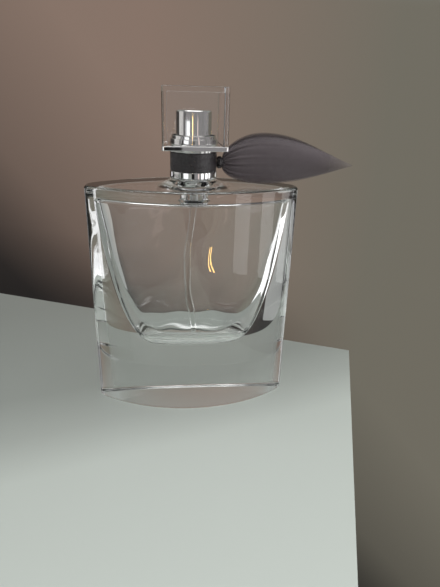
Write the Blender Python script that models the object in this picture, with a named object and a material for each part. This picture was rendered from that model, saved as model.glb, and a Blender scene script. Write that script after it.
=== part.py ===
"""A perfume bottle with a crimped spray pump, a ribbon at its neck and a clear square cap.

Run it with blender --background --python part.py. Metres, +Z up. The origin is the centre of
the glass base, on the surface that the bottle stands on. The front is -Y, and the ribbon's
wings point to +X. Heights named *_Z are above the base.
"""

import math

import bmesh
import bpy
from mathutils import Vector

# ---- Glass body -----------------------------------------------------------------------------
BODY_HEIGHT = 0.0914
BODY_WIDTH_TOP = 0.0820
BODY_WIDTH_BASE = 0.0805
SIDE_DEPTH_TOP = 0.0069  # the narrow flat side, front to back
SIDE_DEPTH_BASE = 0.0047
BOW_TOP = 0.0147  # how far the curved front stands forward of its two corners
BOW_BASE = 0.0138
CORNER_POWER = 40  # sharpness of the upright corners
BASE_EDGE_RUN = 0.0018
BASE_EDGE_RISE = 0.0012
TOP_EDGE_RADIUS = 0.0010
SHOULDER_CROWN = 0.0004
FRONT_WALL = 0.0040
SIDE_WALL = 0.0043
BASE_THICKNESS = 0.0270
CEILING_THICKNESS = 0.0044
CEILING_EDGE = 0.0015
POUCH_POWER = 4.6  # the pouch's half width grows as this root of the height above its floor
POUCH_ROUND = 0.0078  # height over which the pouch's floor rounds up to its full depth
POUCH_CORNER_POWER = 16

# ---- Glass neck -----------------------------------------------------------------------------
FOOT_LEDGE = 0.0002  # how far the neck's foot reaches out past the collar's wall
FOOT_RISE = 0.0022
FLARE_WIDTH = 0.0064
FINISH_RADIUS = 0.0072
BEAD_STEP = 0.0006  # how far the bead stands out from the throat
THROAT_HEIGHT = 0.0034
BEAD_HEIGHT = 0.0040
BORE_PLAY = 0.0006  # between the pump and the neck's bore
LIP_ROUND = 0.0004

# ---- Fits -----------------------------------------------------------------------------------
FIT = 0.0001  # between nested round pieces, and between pieces stacked on each other
SEAT_GAP = 0.0003  # under the collar and under the cap
RUNNING = 0.0001  # around the stem and the piston

# ---- Pump -----------------------------------------------------------------------------------
GASKET_THICKNESS = 0.0007
FLANGE_THICKNESS = 0.0007
FERRULE_WALL = 0.0003
TURRET_HEIGHT = 0.0020
PUMP_RADIUS = 0.0041
PUMP_WALL = 0.00085
INLET_RADIUS = 0.0022
INLET_FLOOR = 0.0004  # between the tube's socket and the ball's seat
STEM_RADIUS = 0.00175
STEM_BORE = 0.0007
STEM_SOCKET_DEPTH = 0.0022  # how far the stem goes up into the spray head
PISTON_HEIGHT = 0.0024
PISTON_DEPTH = 0.0010  # from the pump's flange down to the piston's top
STROKE = 0.0035
STROKE_CLEARANCE = 0.0005  # left under each moving piece when the head is fully down
SPRING_RADIUS = 0.0022
SPRING_WIRE = 0.00025
SPRING_TURNS = 4
BALL_RADIUS = 0.0012
TUBE_RADIUS = 0.00125
TUBE_WALL = 0.00035
TUBE_SOCKET = 0.0025
TUBE_END_CLEARANCE = 0.0014  # between the tube's lower end and the pouch's floor
TUBE_LEAN = 0.0034  # how far back the tube's lower end lies
TUBE_SWAY = -0.0025  # how far to the side its middle bows
TUBE_DRIFT = 0.0008  # how far to the side its lower end lies

# ---- Collar and ribbon ----------------------------------------------------------------------
LINER_WALL = 0.0003
COLLAR_WALL = 0.0003
COLLAR_HEIGHT = 0.0106
COLLAR_RIM = 0.00055  # how far the rims stand out from the ribbon's groove
BOTTOM_RIM_HEIGHT = 0.0029
TOP_RIM_HEIGHT = 0.0008
SLEEVE_WALL = 0.0005
SLEEVE_STEP = 0.0002
SLEEVE_HEIGHT = 0.0051
BAND_THICKNESS = 0.00036
KNOT_LENGTH = 0.0016
KNOT_HALF_HEIGHT = 0.0022
KNOT_HALF_DEPTH = 0.0020
KNOT_DROP = 0.0005  # below the middle of the band
WING_LENGTH = 0.0479
WING_WIDTH = 0.0172
WING_ROOT_WIDTH = 0.0034
WING_THICKNESS = 0.0004
WING_SHOULDER_GAP = 0.0006
WING_ARCH = 0.0006  # how far the middle of a wing's length rises
WING_LEAN = 0.0110  # how far each tip lies in front of the knot, or behind it

# ---- Spray head -----------------------------------------------------------------------------
HEAD_PLAY = 0.0011  # between the head and the collar's sleeve
HEAD_WALL = 0.00035
HEAD_ABOVE_SLEEVE = 0.0087
HEAD_SKIRT = 0.0012  # how far the head's wall reaches down inside the collar's sleeve
HEAD_EDGE = 0.0007
CORE_SOCKET_WALL = 0.0011
CORE_RIM_WALL = 0.0006
CORE_TOP = 0.0055
NOZZLE_RADIUS = 0.0013
NOZZLE_LENGTH = 0.0014
NOZZLE_DROP = 0.0038  # below the head's top
CHANNEL_RADIUS = 0.00045

# ---- Cap ------------------------------------------------------------------------------------
CAP_ROOM = 0.00125  # between the grip ring and the cap's wall
CAP_HEIGHT = 0.0214
CAP_WALL = 0.0017
CAP_TOP = 0.0018
CAP_CORNER = 0.0010
CAP_EDGE = 0.0004
PLATE_THICKNESS = 0.0016
PLATE_LIP = 0.0002
GRIP_WALL = 0.0005
GRIP_HEIGHT = 0.0020

# ---- Facets ---------------------------------------------------------------------------------
ROUND_SIDES = 32
ARC_STEPS = 18  # across the curved front of the glass
TUBE_SIDES = 10
WIRE_SIDES = 5

# ---- Heights that follow from the sizes above ------------------------------------------------
SHOULDER_Z = BODY_HEIGHT + SHOULDER_CROWN
FOOT_Z = SHOULDER_Z + FOOT_RISE
BEAD_Z = FOOT_Z + THROAT_HEIGHT
FINISH_Z = BEAD_Z + BEAD_HEIGHT
GASKET_Z = FINISH_Z + FIT
FLANGE_Z = GASKET_Z + GASKET_THICKNESS + FIT
FLANGE_TOP_Z = FLANGE_Z + FLANGE_THICKNESS
FERRULE_Z = FLANGE_TOP_Z + FIT
TURRET_Z = FERRULE_Z + FERRULE_WALL + TURRET_HEIGHT
COLLAR_Z = FOOT_Z + SEAT_GAP
COLLAR_TOP_Z = COLLAR_Z + COLLAR_HEIGHT
SLEEVE_Z = COLLAR_TOP_Z + SLEEVE_HEIGHT
HEAD_Z = SLEEVE_Z - HEAD_SKIRT
HEAD_TOP_Z = SLEEVE_Z + HEAD_ABOVE_SLEEVE
PLATE_Z = COLLAR_TOP_Z + SEAT_GAP
CAP_Z = PLATE_Z + PLATE_THICKNESS + FIT
CAP_TOP_Z = PLATE_Z + CAP_HEIGHT
FLOOR_Z = BASE_THICKNESS
CEILING_Z = BODY_HEIGHT - CEILING_THICKNESS
PISTON_TOP_Z = FLANGE_Z - PISTON_DEPTH
PISTON_Z = PISTON_TOP_Z - PISTON_HEIGHT
SPRING_FLAT = 2 * SPRING_WIRE * (SPRING_TURNS + 1)
CHAMBER_FLOOR_Z = PISTON_Z - STROKE - STROKE_CLEARANCE - SPRING_FLAT
CHAMBER_Z = CHAMBER_FLOOR_Z - PUMP_WALL
SEAT_Z = CHAMBER_Z - 1.9 * BALL_RADIUS
TUBE_TOP_Z = SEAT_Z - INLET_FLOOR
INLET_Z = TUBE_TOP_Z - TUBE_SOCKET
SOCKET_Z = TURRET_Z + STROKE + STROKE_CLEARANCE
STEM_TOP_Z = SOCKET_Z + STEM_SOCKET_DEPTH

# ---- Radii of the stack around the neck, each from the piece inside it ------------------------
THROAT_RADIUS = FINISH_RADIUS - BEAD_STEP
FERRULE_INNER = FINISH_RADIUS + FIT
FERRULE_OUTER = FERRULE_INNER + FERRULE_WALL
LINER_INNER = FERRULE_OUTER + FIT
LINER_OUTER = LINER_INNER + LINER_WALL
COLLAR_INNER = LINER_OUTER + FIT
GROOVE_RADIUS = COLLAR_INNER + COLLAR_WALL
BAND_INNER = GROOVE_RADIUS + FIT
BAND_OUTER = BAND_INNER + BAND_THICKNESS
RIM_RADIUS = GROOVE_RADIUS + COLLAR_RIM
SLEEVE_RADIUS = GROOVE_RADIUS - SLEEVE_STEP
FOOT_RADIUS = GROOVE_RADIUS + FOOT_LEDGE
SLEEVE_INNER = SLEEVE_RADIUS - SLEEVE_WALL
HEAD_RADIUS = SLEEVE_INNER - HEAD_PLAY
BAND_Z = COLLAR_Z + BOTTOM_RIM_HEIGHT
BAND_TOP_Z = COLLAR_TOP_Z - TOP_RIM_HEIGHT
KNOT_Z = (BAND_Z + BAND_TOP_Z) / 2 - KNOT_DROP
CHAMBER_RADIUS = PUMP_RADIUS - PUMP_WALL
BORE_RADIUS = PUMP_RADIUS + BORE_PLAY
SOCKET_RADIUS = TUBE_RADIUS + FIT
GRIP_INNER = SLEEVE_RADIUS + FIT
GRIP_OUTER = GRIP_INNER + GRIP_WALL
CAP_INNER = GRIP_OUTER + CAP_ROOM
CAP_OUTER = CAP_INNER + CAP_WALL


# ---- Scene and materials ----------------------------------------------------------------------
def clear_scene():
    for obj in list(bpy.data.objects):
        bpy.data.objects.remove(obj)


def material(name, colour, roughness, metallic=0.0, transmission=0.0):
    made = bpy.data.materials.new(name)
    made.use_nodes = True
    shader = made.node_tree.nodes["Principled BSDF"]
    shader.inputs["Base Color"].default_value = (*colour, 1.0)
    shader.inputs["Roughness"].default_value = roughness
    shader.inputs["Metallic"].default_value = metallic
    shader.inputs["Transmission Weight"].default_value = transmission
    return made


def make_materials():
    return {
        "glass": material("clear_glass", (0.95, 0.98, 0.97), 0.02, transmission=1.0),
        "acrylic": material("clear_acrylic", (0.97, 0.97, 0.96), 0.03, transmission=1.0),
        "chrome": material("chrome", (0.78, 0.77, 0.76), 0.08, metallic=1.0),
        "aluminium": material("aluminium", (0.72, 0.72, 0.73), 0.30, metallic=1.0),
        "steel": material("spring_steel", (0.60, 0.60, 0.61), 0.25, metallic=1.0),
        "natural": material("natural_plastic", (0.86, 0.88, 0.87), 0.35, transmission=0.4),
        "white": material("white_plastic", (0.82, 0.82, 0.80), 0.40),
        "rubber": material("grey_rubber", (0.20, 0.20, 0.21), 0.60),
        "organza": material("charcoal_organza", (0.085, 0.072, 0.082), 0.70),
    }


# ---- Mesh helpers -----------------------------------------------------------------------------
def finish_mesh(name, bm, paint, smooth_below=35.0):
    """Makes the object, with its faces pointing out and its gentle edges shaded smooth."""
    bmesh.ops.recalc_face_normals(bm, faces=bm.faces[:])
    mesh = bpy.data.meshes.new(name)
    bm.to_mesh(mesh)
    bm.free()
    mesh.shade_smooth()
    mesh.set_sharp_from_angle(angle=math.radians(smooth_below))
    mesh.materials.append(paint)
    obj = bpy.data.objects.new(name, mesh)
    bpy.context.scene.collection.objects.link(obj)
    return obj


def loft(name, rings, paint, closed=False):
    """Joins rings of equal numbers of points. The first and last are capped, or joined if closed."""
    bm = bmesh.new()
    rows = [[bm.verts.new(point) for point in ring] for ring in rings]
    pairs = list(zip(rows, rows[1:]))
    if closed:
        pairs.append((rows[-1], rows[0]))
    for low, high in pairs:
        for i in range(len(low)):
            j = (i + 1) % len(low)
            bm.faces.new((low[i], low[j], high[j], high[i]))
    if not closed:
        bm.faces.new(rows[0])
        bm.faces.new(rows[-1])
    return finish_mesh(name, bm, paint)


def turned(name, profile, paint, sides=ROUND_SIDES):
    """Spins a closed outline of (radius, height) points about Z."""
    bm = bmesh.new()
    verts = [bm.verts.new((radius, 0, height)) for radius, height in profile]
    edges = [bm.edges.new((verts[i - 1], verts[i])) for i in range(len(verts))]
    bmesh.ops.spin(
        bm, geom=verts + edges, axis=(0, 0, 1), cent=(0, 0, 0), steps=sides, angle=2 * math.pi
    )
    bmesh.ops.remove_doubles(bm, verts=bm.verts[:], dist=1e-6)
    return finish_mesh(name, bm, paint)


def cut(target, cutter):
    """Subtracts cutter from target. The cutter stays in the scene as a hidden helper."""
    cutter.hide_render = True
    cutter.display_type = "WIRE"
    modifier = target.modifiers.new("cut_" + cutter.name, "BOOLEAN")
    modifier.operation = "DIFFERENCE"
    modifier.solver = "EXACT"
    modifier.object = cutter


def rod_cutter(name, radius, start_y, end_y, height, paint, sides):
    """A cylinder along Y, from start_y to end_y."""
    bm = bmesh.new()
    bmesh.ops.create_cone(
        bm, cap_ends=True, segments=sides, radius1=radius, radius2=radius, depth=end_y - start_y
    )
    obj = finish_mesh(name, bm, paint)
    obj.rotation_euler = (math.radians(-90), 0, 0)
    obj.location = (0, (start_y + end_y) / 2, height)
    return obj


# ---- Glass ------------------------------------------------------------------------------------
def share(height):
    return height / BODY_HEIGHT


def mix(low, high, amount):
    return low + (high - low) * amount


class Outline:
    """The body's outline at one height: two equal arcs, cut off by two flat sides."""

    def __init__(self, height, inset=0.0):
        amount = share(height)
        half_width = mix(BODY_WIDTH_BASE, BODY_WIDTH_TOP, amount) / 2
        side = mix(SIDE_DEPTH_BASE, SIDE_DEPTH_TOP, amount) / 2
        bow = mix(BOW_BASE, BOW_TOP, amount)
        arc = (half_width**2 + bow**2) / (2 * bow)
        self.centre = arc - side - bow  # how far behind the axis the front arc's centre lies
        self.arc = arc - inset
        self.half_width = half_width - inset
        self.side = side

    def arc_y(self, x):
        return math.sqrt(self.arc**2 - x**2) - self.centre

    def radius(self, angle, power=CORNER_POWER, half_width=None, flatten=1.0):
        """From the axis to the outline. The arc and the side meet in a rounded corner."""
        half_width = half_width or self.half_width
        across, along = abs(math.cos(angle)), abs(math.sin(angle)) / flatten
        square = across**2 + along**2
        half = along * self.centre
        to_arc = (math.sqrt(half**2 + square * (self.arc**2 - self.centre**2)) - half) / square
        to_side = half_width / max(across, 1e-9)
        return (to_arc**-power + to_side**-power) ** (-1 / power)


def outline_angles():
    """Angles that put points along both arcs, closer together near the corners, and on the sides."""
    middle = Outline(BODY_HEIGHT / 2)
    angles = []
    for turn in (0, math.pi):
        for offset in (-0.6, 0.0, 0.6):
            angles.append(turn + math.atan2(offset * middle.side, middle.half_width))
        for step in range(ARC_STEPS + 1):
            x = middle.half_width * math.cos(math.pi * step / ARC_STEPS)
            angles.append(turn + math.atan2(middle.arc_y(x), x))
    return angles


def shoulder_height(x, y):
    """The shoulder's crown, and the flare that rises to the neck."""
    crown = SHOULDER_CROWN * max(0.0, 1 - (2 * x / BODY_WIDTH_TOP) ** 2)
    near = (FOOT_RADIUS + FLARE_WIDTH - math.hypot(x, y)) / FLARE_WIDTH
    return crown + FOOT_RISE * min(1.0, max(0.0, near)) ** 2


def polar(angles, radii, height):
    return [
        Vector((r * math.cos(a), r * math.sin(a), height)) for a, r in zip(angles, radii)
    ]


def outline_ring(angles, height, inset):
    outline = Outline(height, inset)
    return polar(angles, [outline.radius(a) for a in angles], height)


def crowned(ring, base):
    return [Vector((p.x, p.y, base + shoulder_height(p.x, p.y))) for p in ring]


def outer_rings(angles):
    rings = []
    for step in range(4):
        turn = math.radians(30 * step)
        inset = BASE_EDGE_RUN * (1 - math.sin(turn))
        rings.append(outline_ring(angles, BASE_EDGE_RISE * (1 - math.cos(turn)), inset))
    for step in range(4):
        turn = math.radians(30 * step)
        inset = TOP_EDGE_RADIUS * (1 - math.cos(turn))
        ring = outline_ring(angles, BODY_HEIGHT, inset)
        rings.append(crowned(ring, BODY_HEIGHT - TOP_EDGE_RADIUS * (1 - math.sin(turn))))
    edge = [math.hypot(p.x, p.y) for p in rings[-1]]
    flare = FOOT_RADIUS + FLARE_WIDTH
    for amount in (0.3, 0.65, 1.0):
        ring = polar(angles, [mix(r, flare, amount) for r in edge], 0)
        rings.append(crowned(ring, BODY_HEIGHT))
    for amount in (0.35, 0.65, 0.85, 1.0):
        ring = polar(angles, [flare - FLARE_WIDTH * amount] * len(angles), 0)
        rings.append(crowned(ring, BODY_HEIGHT))
    return rings


def neck_rings(angles):
    profile = [
        (THROAT_RADIUS, FOOT_Z),
        (THROAT_RADIUS, BEAD_Z),
        (FINISH_RADIUS, BEAD_Z + LIP_ROUND),
        (FINISH_RADIUS, FINISH_Z - LIP_ROUND),
        (FINISH_RADIUS - LIP_ROUND, FINISH_Z),
        (BORE_RADIUS + LIP_ROUND, FINISH_Z),
        (BORE_RADIUS, FINISH_Z - LIP_ROUND),
        (BORE_RADIUS, CEILING_Z + CEILING_EDGE),
        (BORE_RADIUS + CEILING_EDGE, CEILING_Z),
    ]
    return [polar(angles, [radius] * len(angles), height) for radius, height in profile]


def pouch_ring(angles, height, width_share, inset=0.0):
    """One level of the pouch that holds the perfume. It is as deep as the front wall allows."""
    outline = Outline(height, FRONT_WALL + inset)
    half_width = (BODY_WIDTH_TOP / 2 - SIDE_WALL - inset) * width_share
    rise = (height - FLOOR_Z) / POUCH_ROUND
    rise = min(1.0, max(rise, 1e-3))
    flatten = math.sqrt(rise * (2 - rise))
    radii = [outline.radius(a, POUCH_CORNER_POWER, half_width, flatten) for a in angles]
    return polar(angles, radii, height)


def pouch_rings(angles):
    rings = []
    top = CEILING_Z - CEILING_EDGE
    edge = [math.hypot(p.x, p.y) for p in pouch_ring(angles, CEILING_Z, 1.0, CEILING_EDGE)]
    mouth = BORE_RADIUS + CEILING_EDGE
    rings.append(polar(angles, [mix(mouth, r, 0.5) for r in edge], CEILING_Z))
    rings.append(polar(angles, edge, CEILING_Z))
    rings.append(pouch_ring(angles, CEILING_Z - CEILING_EDGE * 0.3, 1.0, CEILING_EDGE * 0.3))
    for width_share in (1.0, 0.96, 0.91, 0.85, 0.78, 0.71, 0.64, 0.57, 0.50, 0.42, 0.32, 0.20):
        height = FLOOR_Z + (top - FLOOR_Z) * width_share**POUCH_POWER
        rings.append(pouch_ring(angles, height, width_share))
    return rings


def make_glass(paint):
    angles = outline_angles()
    rings = outer_rings(angles) + neck_rings(angles) + pouch_rings(angles)
    return loft("glass_bottle", rings, paint["glass"])


# ---- Pump -------------------------------------------------------------------------------------
def make_pump_body(paint):
    turned(
        "pump_body",
        [
            (INLET_RADIUS, INLET_Z),
            (INLET_RADIUS, CHAMBER_Z - PUMP_WALL),
            (PUMP_RADIUS, CHAMBER_FLOOR_Z),
            (PUMP_RADIUS, FLANGE_Z),
            (FINISH_RADIUS - FIT, FLANGE_Z),
            (FINISH_RADIUS - FIT, FLANGE_TOP_Z),
            (CHAMBER_RADIUS, FLANGE_TOP_Z),
            (CHAMBER_RADIUS, CHAMBER_FLOOR_Z),
            (BALL_RADIUS + 2 * FIT, CHAMBER_Z),
            (BALL_RADIUS + 2 * FIT, SEAT_Z + BALL_RADIUS),
            (BALL_RADIUS * 0.6, SEAT_Z),
            (BALL_RADIUS * 0.6, TUBE_TOP_Z),
            (SOCKET_RADIUS, TUBE_TOP_Z),
            (SOCKET_RADIUS, INLET_Z),
        ],
        paint["natural"],
    )
    bm = bmesh.new()
    bmesh.ops.create_uvsphere(bm, u_segments=12, v_segments=8, radius=BALL_RADIUS)
    ball = finish_mesh("inlet_ball", bm, paint["steel"])
    ball.location.z = SEAT_Z + BALL_RADIUS * 1.25


def make_gasket(paint):
    turned(
        "neck_gasket",
        [
            (PUMP_RADIUS + FIT, GASKET_Z),
            (FINISH_RADIUS - FIT, GASKET_Z),
            (FINISH_RADIUS - FIT, GASKET_Z + GASKET_THICKNESS),
            (PUMP_RADIUS + FIT, GASKET_Z + GASKET_THICKNESS),
        ],
        paint["rubber"],
    )


def make_ferrule(paint):
    inside, outside = PUMP_RADIUS, PUMP_RADIUS + FERRULE_WALL
    hole = STEM_RADIUS + 5 * RUNNING
    lip = THROAT_RADIUS + 2 * FIT
    turned(
        "crimp_ferrule",
        [
            (FERRULE_OUTER, BEAD_Z - 0.0008),
            (FERRULE_OUTER, FERRULE_Z + FERRULE_WALL),
            (outside, FERRULE_Z + FERRULE_WALL),
            (outside, TURRET_Z),
            (hole, TURRET_Z),
            (hole, TURRET_Z - FERRULE_WALL),
            (inside, TURRET_Z - FERRULE_WALL),
            (inside, FERRULE_Z),
            (FERRULE_INNER, FERRULE_Z),
            (FERRULE_INNER, BEAD_Z - FIT),
            (lip, BEAD_Z - 0.0005),
            (lip, BEAD_Z - 0.0008),
        ],
        paint["aluminium"],
    )
    turned(
        "stem_bush",
        [
            (STEM_RADIUS + RUNNING, PISTON_TOP_Z + SEAT_GAP),
            (CHAMBER_RADIUS - FIT, PISTON_TOP_Z + SEAT_GAP),
            (CHAMBER_RADIUS - FIT, FERRULE_Z),
            (PUMP_RADIUS - FIT, FERRULE_Z),
            (PUMP_RADIUS - FIT, TURRET_Z - FERRULE_WALL - FIT),
            (STEM_RADIUS + RUNNING, TURRET_Z - FERRULE_WALL - FIT),
        ],
        paint["white"],
    )


def make_stem_and_piston(paint):
    turned(
        "stem",
        [
            (STEM_BORE, PISTON_Z),
            (STEM_RADIUS, PISTON_Z),
            (STEM_RADIUS, STEM_TOP_Z - 0.0004),
            (STEM_RADIUS - 0.0003, STEM_TOP_Z),
            (STEM_BORE, STEM_TOP_Z),
        ],
        paint["white"],
    )
    waist = mix(STEM_RADIUS, CHAMBER_RADIUS, 0.6)
    turned(
        "piston",
        [
            (STEM_RADIUS + RUNNING, PISTON_Z),
            (CHAMBER_RADIUS - RUNNING, PISTON_Z),
            (waist, PISTON_Z + PISTON_HEIGHT * 0.35),
            (waist, PISTON_Z + PISTON_HEIGHT * 0.65),
            (CHAMBER_RADIUS - RUNNING, PISTON_TOP_Z),
            (STEM_RADIUS + RUNNING, PISTON_TOP_Z),
        ],
        paint["natural"],
    )


def make_spring(paint):
    """A helix from the chamber's floor to the piston, with its wire swept as a small polygon."""
    low = CHAMBER_FLOOR_Z + SPRING_WIRE + 2 * FIT
    high = PISTON_Z - SPRING_WIRE - 2 * FIT
    steps = 12 * SPRING_TURNS
    rings = []
    for step in range(steps + 1):
        turn = 2 * math.pi * step / 12
        out = Vector((math.cos(turn), math.sin(turn), 0))
        centre = out * SPRING_RADIUS + Vector((0, 0, mix(low, high, step / steps)))
        sides = [2 * math.pi * k / WIRE_SIDES for k in range(WIRE_SIDES)]
        rings.append(
            [centre + SPRING_WIRE * (out * math.cos(s) + Vector((0, 0, math.sin(s)))) for s in sides]
        )
    loft("return_spring", rings, paint["steel"])


def tube_point(amount):
    """A point on the dip tube's centre line: straight out of its socket, then leaning back."""
    top = TUBE_TOP_Z - FIT
    bottom = FLOOR_Z + TUBE_END_CLEARANCE
    free = max(0.0, (amount - 0.06) / 0.94)
    return Vector(
        (
            TUBE_SWAY * math.sin(math.pi * free) ** 2 + TUBE_DRIFT * free**2,
            TUBE_LEAN * math.sin(math.pi * free / 2) ** 2,
            mix(top, bottom, amount),
        )
    )


def make_dip_tube(paint):
    steps = 14
    outer, inner = [], []
    for step in range(steps + 1):
        centre = tube_point(step / steps)
        after, before = tube_point(min(1, step / steps + 0.01)), tube_point(step / steps - 0.01)
        along = (after - before).normalized()
        side = along.cross(Vector((0, 1, 0))).normalized()
        front = side.cross(along)
        turns = [2 * math.pi * k / TUBE_SIDES for k in range(TUBE_SIDES)]
        spokes = [side * math.cos(turn) + front * math.sin(turn) for turn in turns]
        outer.append([centre + TUBE_RADIUS * spoke for spoke in spokes])
        inner.append([centre + (TUBE_RADIUS - TUBE_WALL) * spoke for spoke in spokes])
    loft("dip_tube", outer + inner[::-1], paint["natural"], closed=True)


# ---- Collar -----------------------------------------------------------------------------------
def make_collar(paint):
    turned(
        "collar_liner",
        [
            (LINER_INNER, COLLAR_Z + FIT),
            (LINER_OUTER, COLLAR_Z + FIT),
            (LINER_OUTER, COLLAR_TOP_Z - TOP_RIM_HEIGHT - 2 * FIT),
            (LINER_INNER, COLLAR_TOP_Z - TOP_RIM_HEIGHT - 2 * FIT),
        ],
        paint["white"],
    )
    soft = 0.00025
    turned(
        "collar_shell",
        [
            (COLLAR_INNER, COLLAR_Z),
            (RIM_RADIUS - 2 * soft, COLLAR_Z),
            (RIM_RADIUS, COLLAR_Z + 2 * soft),
            (RIM_RADIUS, BAND_Z - soft),
            (RIM_RADIUS - soft, BAND_Z),
            (GROOVE_RADIUS, BAND_Z),
            (GROOVE_RADIUS, BAND_TOP_Z),
            (RIM_RADIUS - soft, BAND_TOP_Z),
            (RIM_RADIUS, BAND_TOP_Z + soft),
            (RIM_RADIUS, COLLAR_TOP_Z - soft),
            (RIM_RADIUS - soft, COLLAR_TOP_Z),
            (SLEEVE_RADIUS, COLLAR_TOP_Z),
            (SLEEVE_RADIUS, SLEEVE_Z - soft),
            (SLEEVE_RADIUS - soft, SLEEVE_Z),
            (SLEEVE_INNER, SLEEVE_Z),
            (SLEEVE_INNER, COLLAR_TOP_Z - TOP_RIM_HEIGHT),
            (COLLAR_INNER, COLLAR_TOP_Z - TOP_RIM_HEIGHT),
        ],
        paint["chrome"],
    )


# ---- Ribbon -----------------------------------------------------------------------------------
def make_band(paint):
    low, high = BAND_Z + FIT, BAND_TOP_Z - FIT
    turned(
        "ribbon_band",
        [(BAND_INNER, low), (BAND_OUTER, low), (BAND_OUTER, high), (BAND_INNER, high)],
        paint["organza"],
    )


def make_knot(paint):
    """A pinched barrel beside the band, waisted where the wings leave it."""
    rings = []
    for amount, size in ((0, 0.75), (0.2, 1.0), (0.5, 0.9), (0.8, 0.72), (1, 0.55)):
        x = RIM_RADIUS + FIT + KNOT_LENGTH * amount
        turns = [2 * math.pi * k / 12 for k in range(12)]
        rings.append(
            [
                Vector(
                    (
                        x,
                        size * KNOT_HALF_DEPTH * math.cos(turn),
                        KNOT_Z + size * KNOT_HALF_HEIGHT * math.sin(turn),
                    )
                )
                for turn in turns
            ]
        )
    loft("ribbon_knot", rings, paint["organza"])


def leaf(amount):
    """Half width of a wing, as a share of its widest, from its root to its tip."""
    root = WING_ROOT_WIDTH / WING_WIDTH
    return mix(root, 1.0, math.sin(math.pi * amount**0.62) ** 0.9) * (1 - amount**6)


def wing_point(amount, side, forward, lift):
    """A point of a wing. side is -1 at its lower edge and +1 at its upper one."""
    start = RIM_RADIUS + KNOT_LENGTH + 4 * FIT
    x = start + WING_LENGTH * amount
    half = WING_WIDTH / 2 * leaf(amount)
    belly = 0.0022 * math.sin(math.pi * amount) * (1 - side**2)
    y = forward * (0.0006 + WING_LEAN * amount**0.8) + math.copysign(belly, forward)
    lowest = SHOULDER_Z + WING_SHOULDER_GAP + WING_WIDTH / 2
    rise = (lowest + lift - KNOT_Z) * math.sin(math.pi / 2 * min(1, 3 * amount))
    arch = WING_ARCH * math.sin(math.pi * amount)
    return Vector((x, y, KNOT_Z + rise + arch + half * side))


def make_wing(name, forward, lift, paint):
    columns, rows = 12, 4
    bm = bmesh.new()
    grid = [
        [
            bm.verts.new(wing_point(0.985 * i / columns, 2 * j / rows - 1, forward, lift))
            for j in range(rows + 1)
        ]
        for i in range(columns + 1)
    ]
    for i in range(columns):
        for j in range(rows):
            bm.faces.new((grid[i][j], grid[i + 1][j], grid[i + 1][j + 1], grid[i][j + 1]))
    wing = finish_mesh(name, bm, paint["organza"])
    thick = wing.modifiers.new("thickness", "SOLIDIFY")
    thick.thickness = WING_THICKNESS
    thick.offset = 0


# ---- Spray head -------------------------------------------------------------------------------
def make_head(paint):
    inner = HEAD_RADIUS - HEAD_WALL
    under = HEAD_TOP_Z - HEAD_WALL
    shell = turned(
        "actuator_shell",
        [
            (inner, HEAD_Z),
            (HEAD_RADIUS, HEAD_Z),
            (HEAD_RADIUS, HEAD_TOP_Z - HEAD_EDGE),
            (HEAD_RADIUS - 0.3 * HEAD_EDGE, HEAD_TOP_Z - 0.3 * HEAD_EDGE),
            (HEAD_RADIUS - HEAD_EDGE, HEAD_TOP_Z),
            (0, HEAD_TOP_Z),
            (0, under),
            (inner - HEAD_EDGE, under),
            (inner, under - HEAD_EDGE),
        ],
        paint["chrome"],
    )
    core_radius, core_top = inner - FIT, under - FIT
    socket = STEM_RADIUS + FIT
    core = turned(
        "actuator_core",
        [
            (socket, SOCKET_Z),
            (socket + CORE_SOCKET_WALL, SOCKET_Z),
            (socket + CORE_SOCKET_WALL, core_top - CORE_TOP),
            (core_radius - CORE_RIM_WALL, core_top - CORE_TOP),
            (core_radius - CORE_RIM_WALL, HEAD_Z + FIT),
            (core_radius, HEAD_Z + FIT),
            (core_radius, core_top - HEAD_EDGE),
            (core_radius - HEAD_EDGE, core_top),
            (0, core_top),
            (0, STEM_TOP_Z + FIT),
            (socket, STEM_TOP_Z + FIT),
        ],
        paint["white"],
    )
    nozzle_z = HEAD_TOP_Z - NOZZLE_DROP
    seat = HEAD_RADIUS - FIT - NOZZLE_LENGTH
    pocket = rod_cutter(
        "nozzle_pocket", NOZZLE_RADIUS + FIT, seat - FIT, 2 * HEAD_RADIUS, nozzle_z,
        paint["white"], 16,
    )
    channel = rod_cutter(
        "spray_channel", CHANNEL_RADIUS, 0, seat, nozzle_z, paint["white"], 8
    )
    cut(shell, pocket)
    cut(core, pocket)
    cut(core, channel)
    make_nozzle(paint, nozzle_z, seat)


def make_nozzle(paint, height, seat):
    """The spray insert, which faces +Y. Its orifice opens into a dish in its outer end."""
    orifice, dish = 0.0002, 0.0007
    nozzle = turned(
        "nozzle_insert",
        [
            (orifice, 0),
            (NOZZLE_RADIUS, 0),
            (NOZZLE_RADIUS, NOZZLE_LENGTH),
            (dish, NOZZLE_LENGTH),
            (orifice, NOZZLE_LENGTH * 0.6),
        ],
        paint["natural"],
        sides=16,
    )
    nozzle.rotation_euler = (math.radians(-90), 0, 0)
    nozzle.location = (0, seat, height)


# ---- Cap --------------------------------------------------------------------------------------
def square_angles():
    """The angles of the round pieces' corners, with more of them round each square corner."""
    angles = []
    for quarter in range(4):
        for degrees in (0, 11.25, 22.5, 33.75, 41, 43, 45, 47, 49, 56.25, 67.5, 78.75):
            angles.append(math.radians(90 * quarter + degrees))
    return angles


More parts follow.
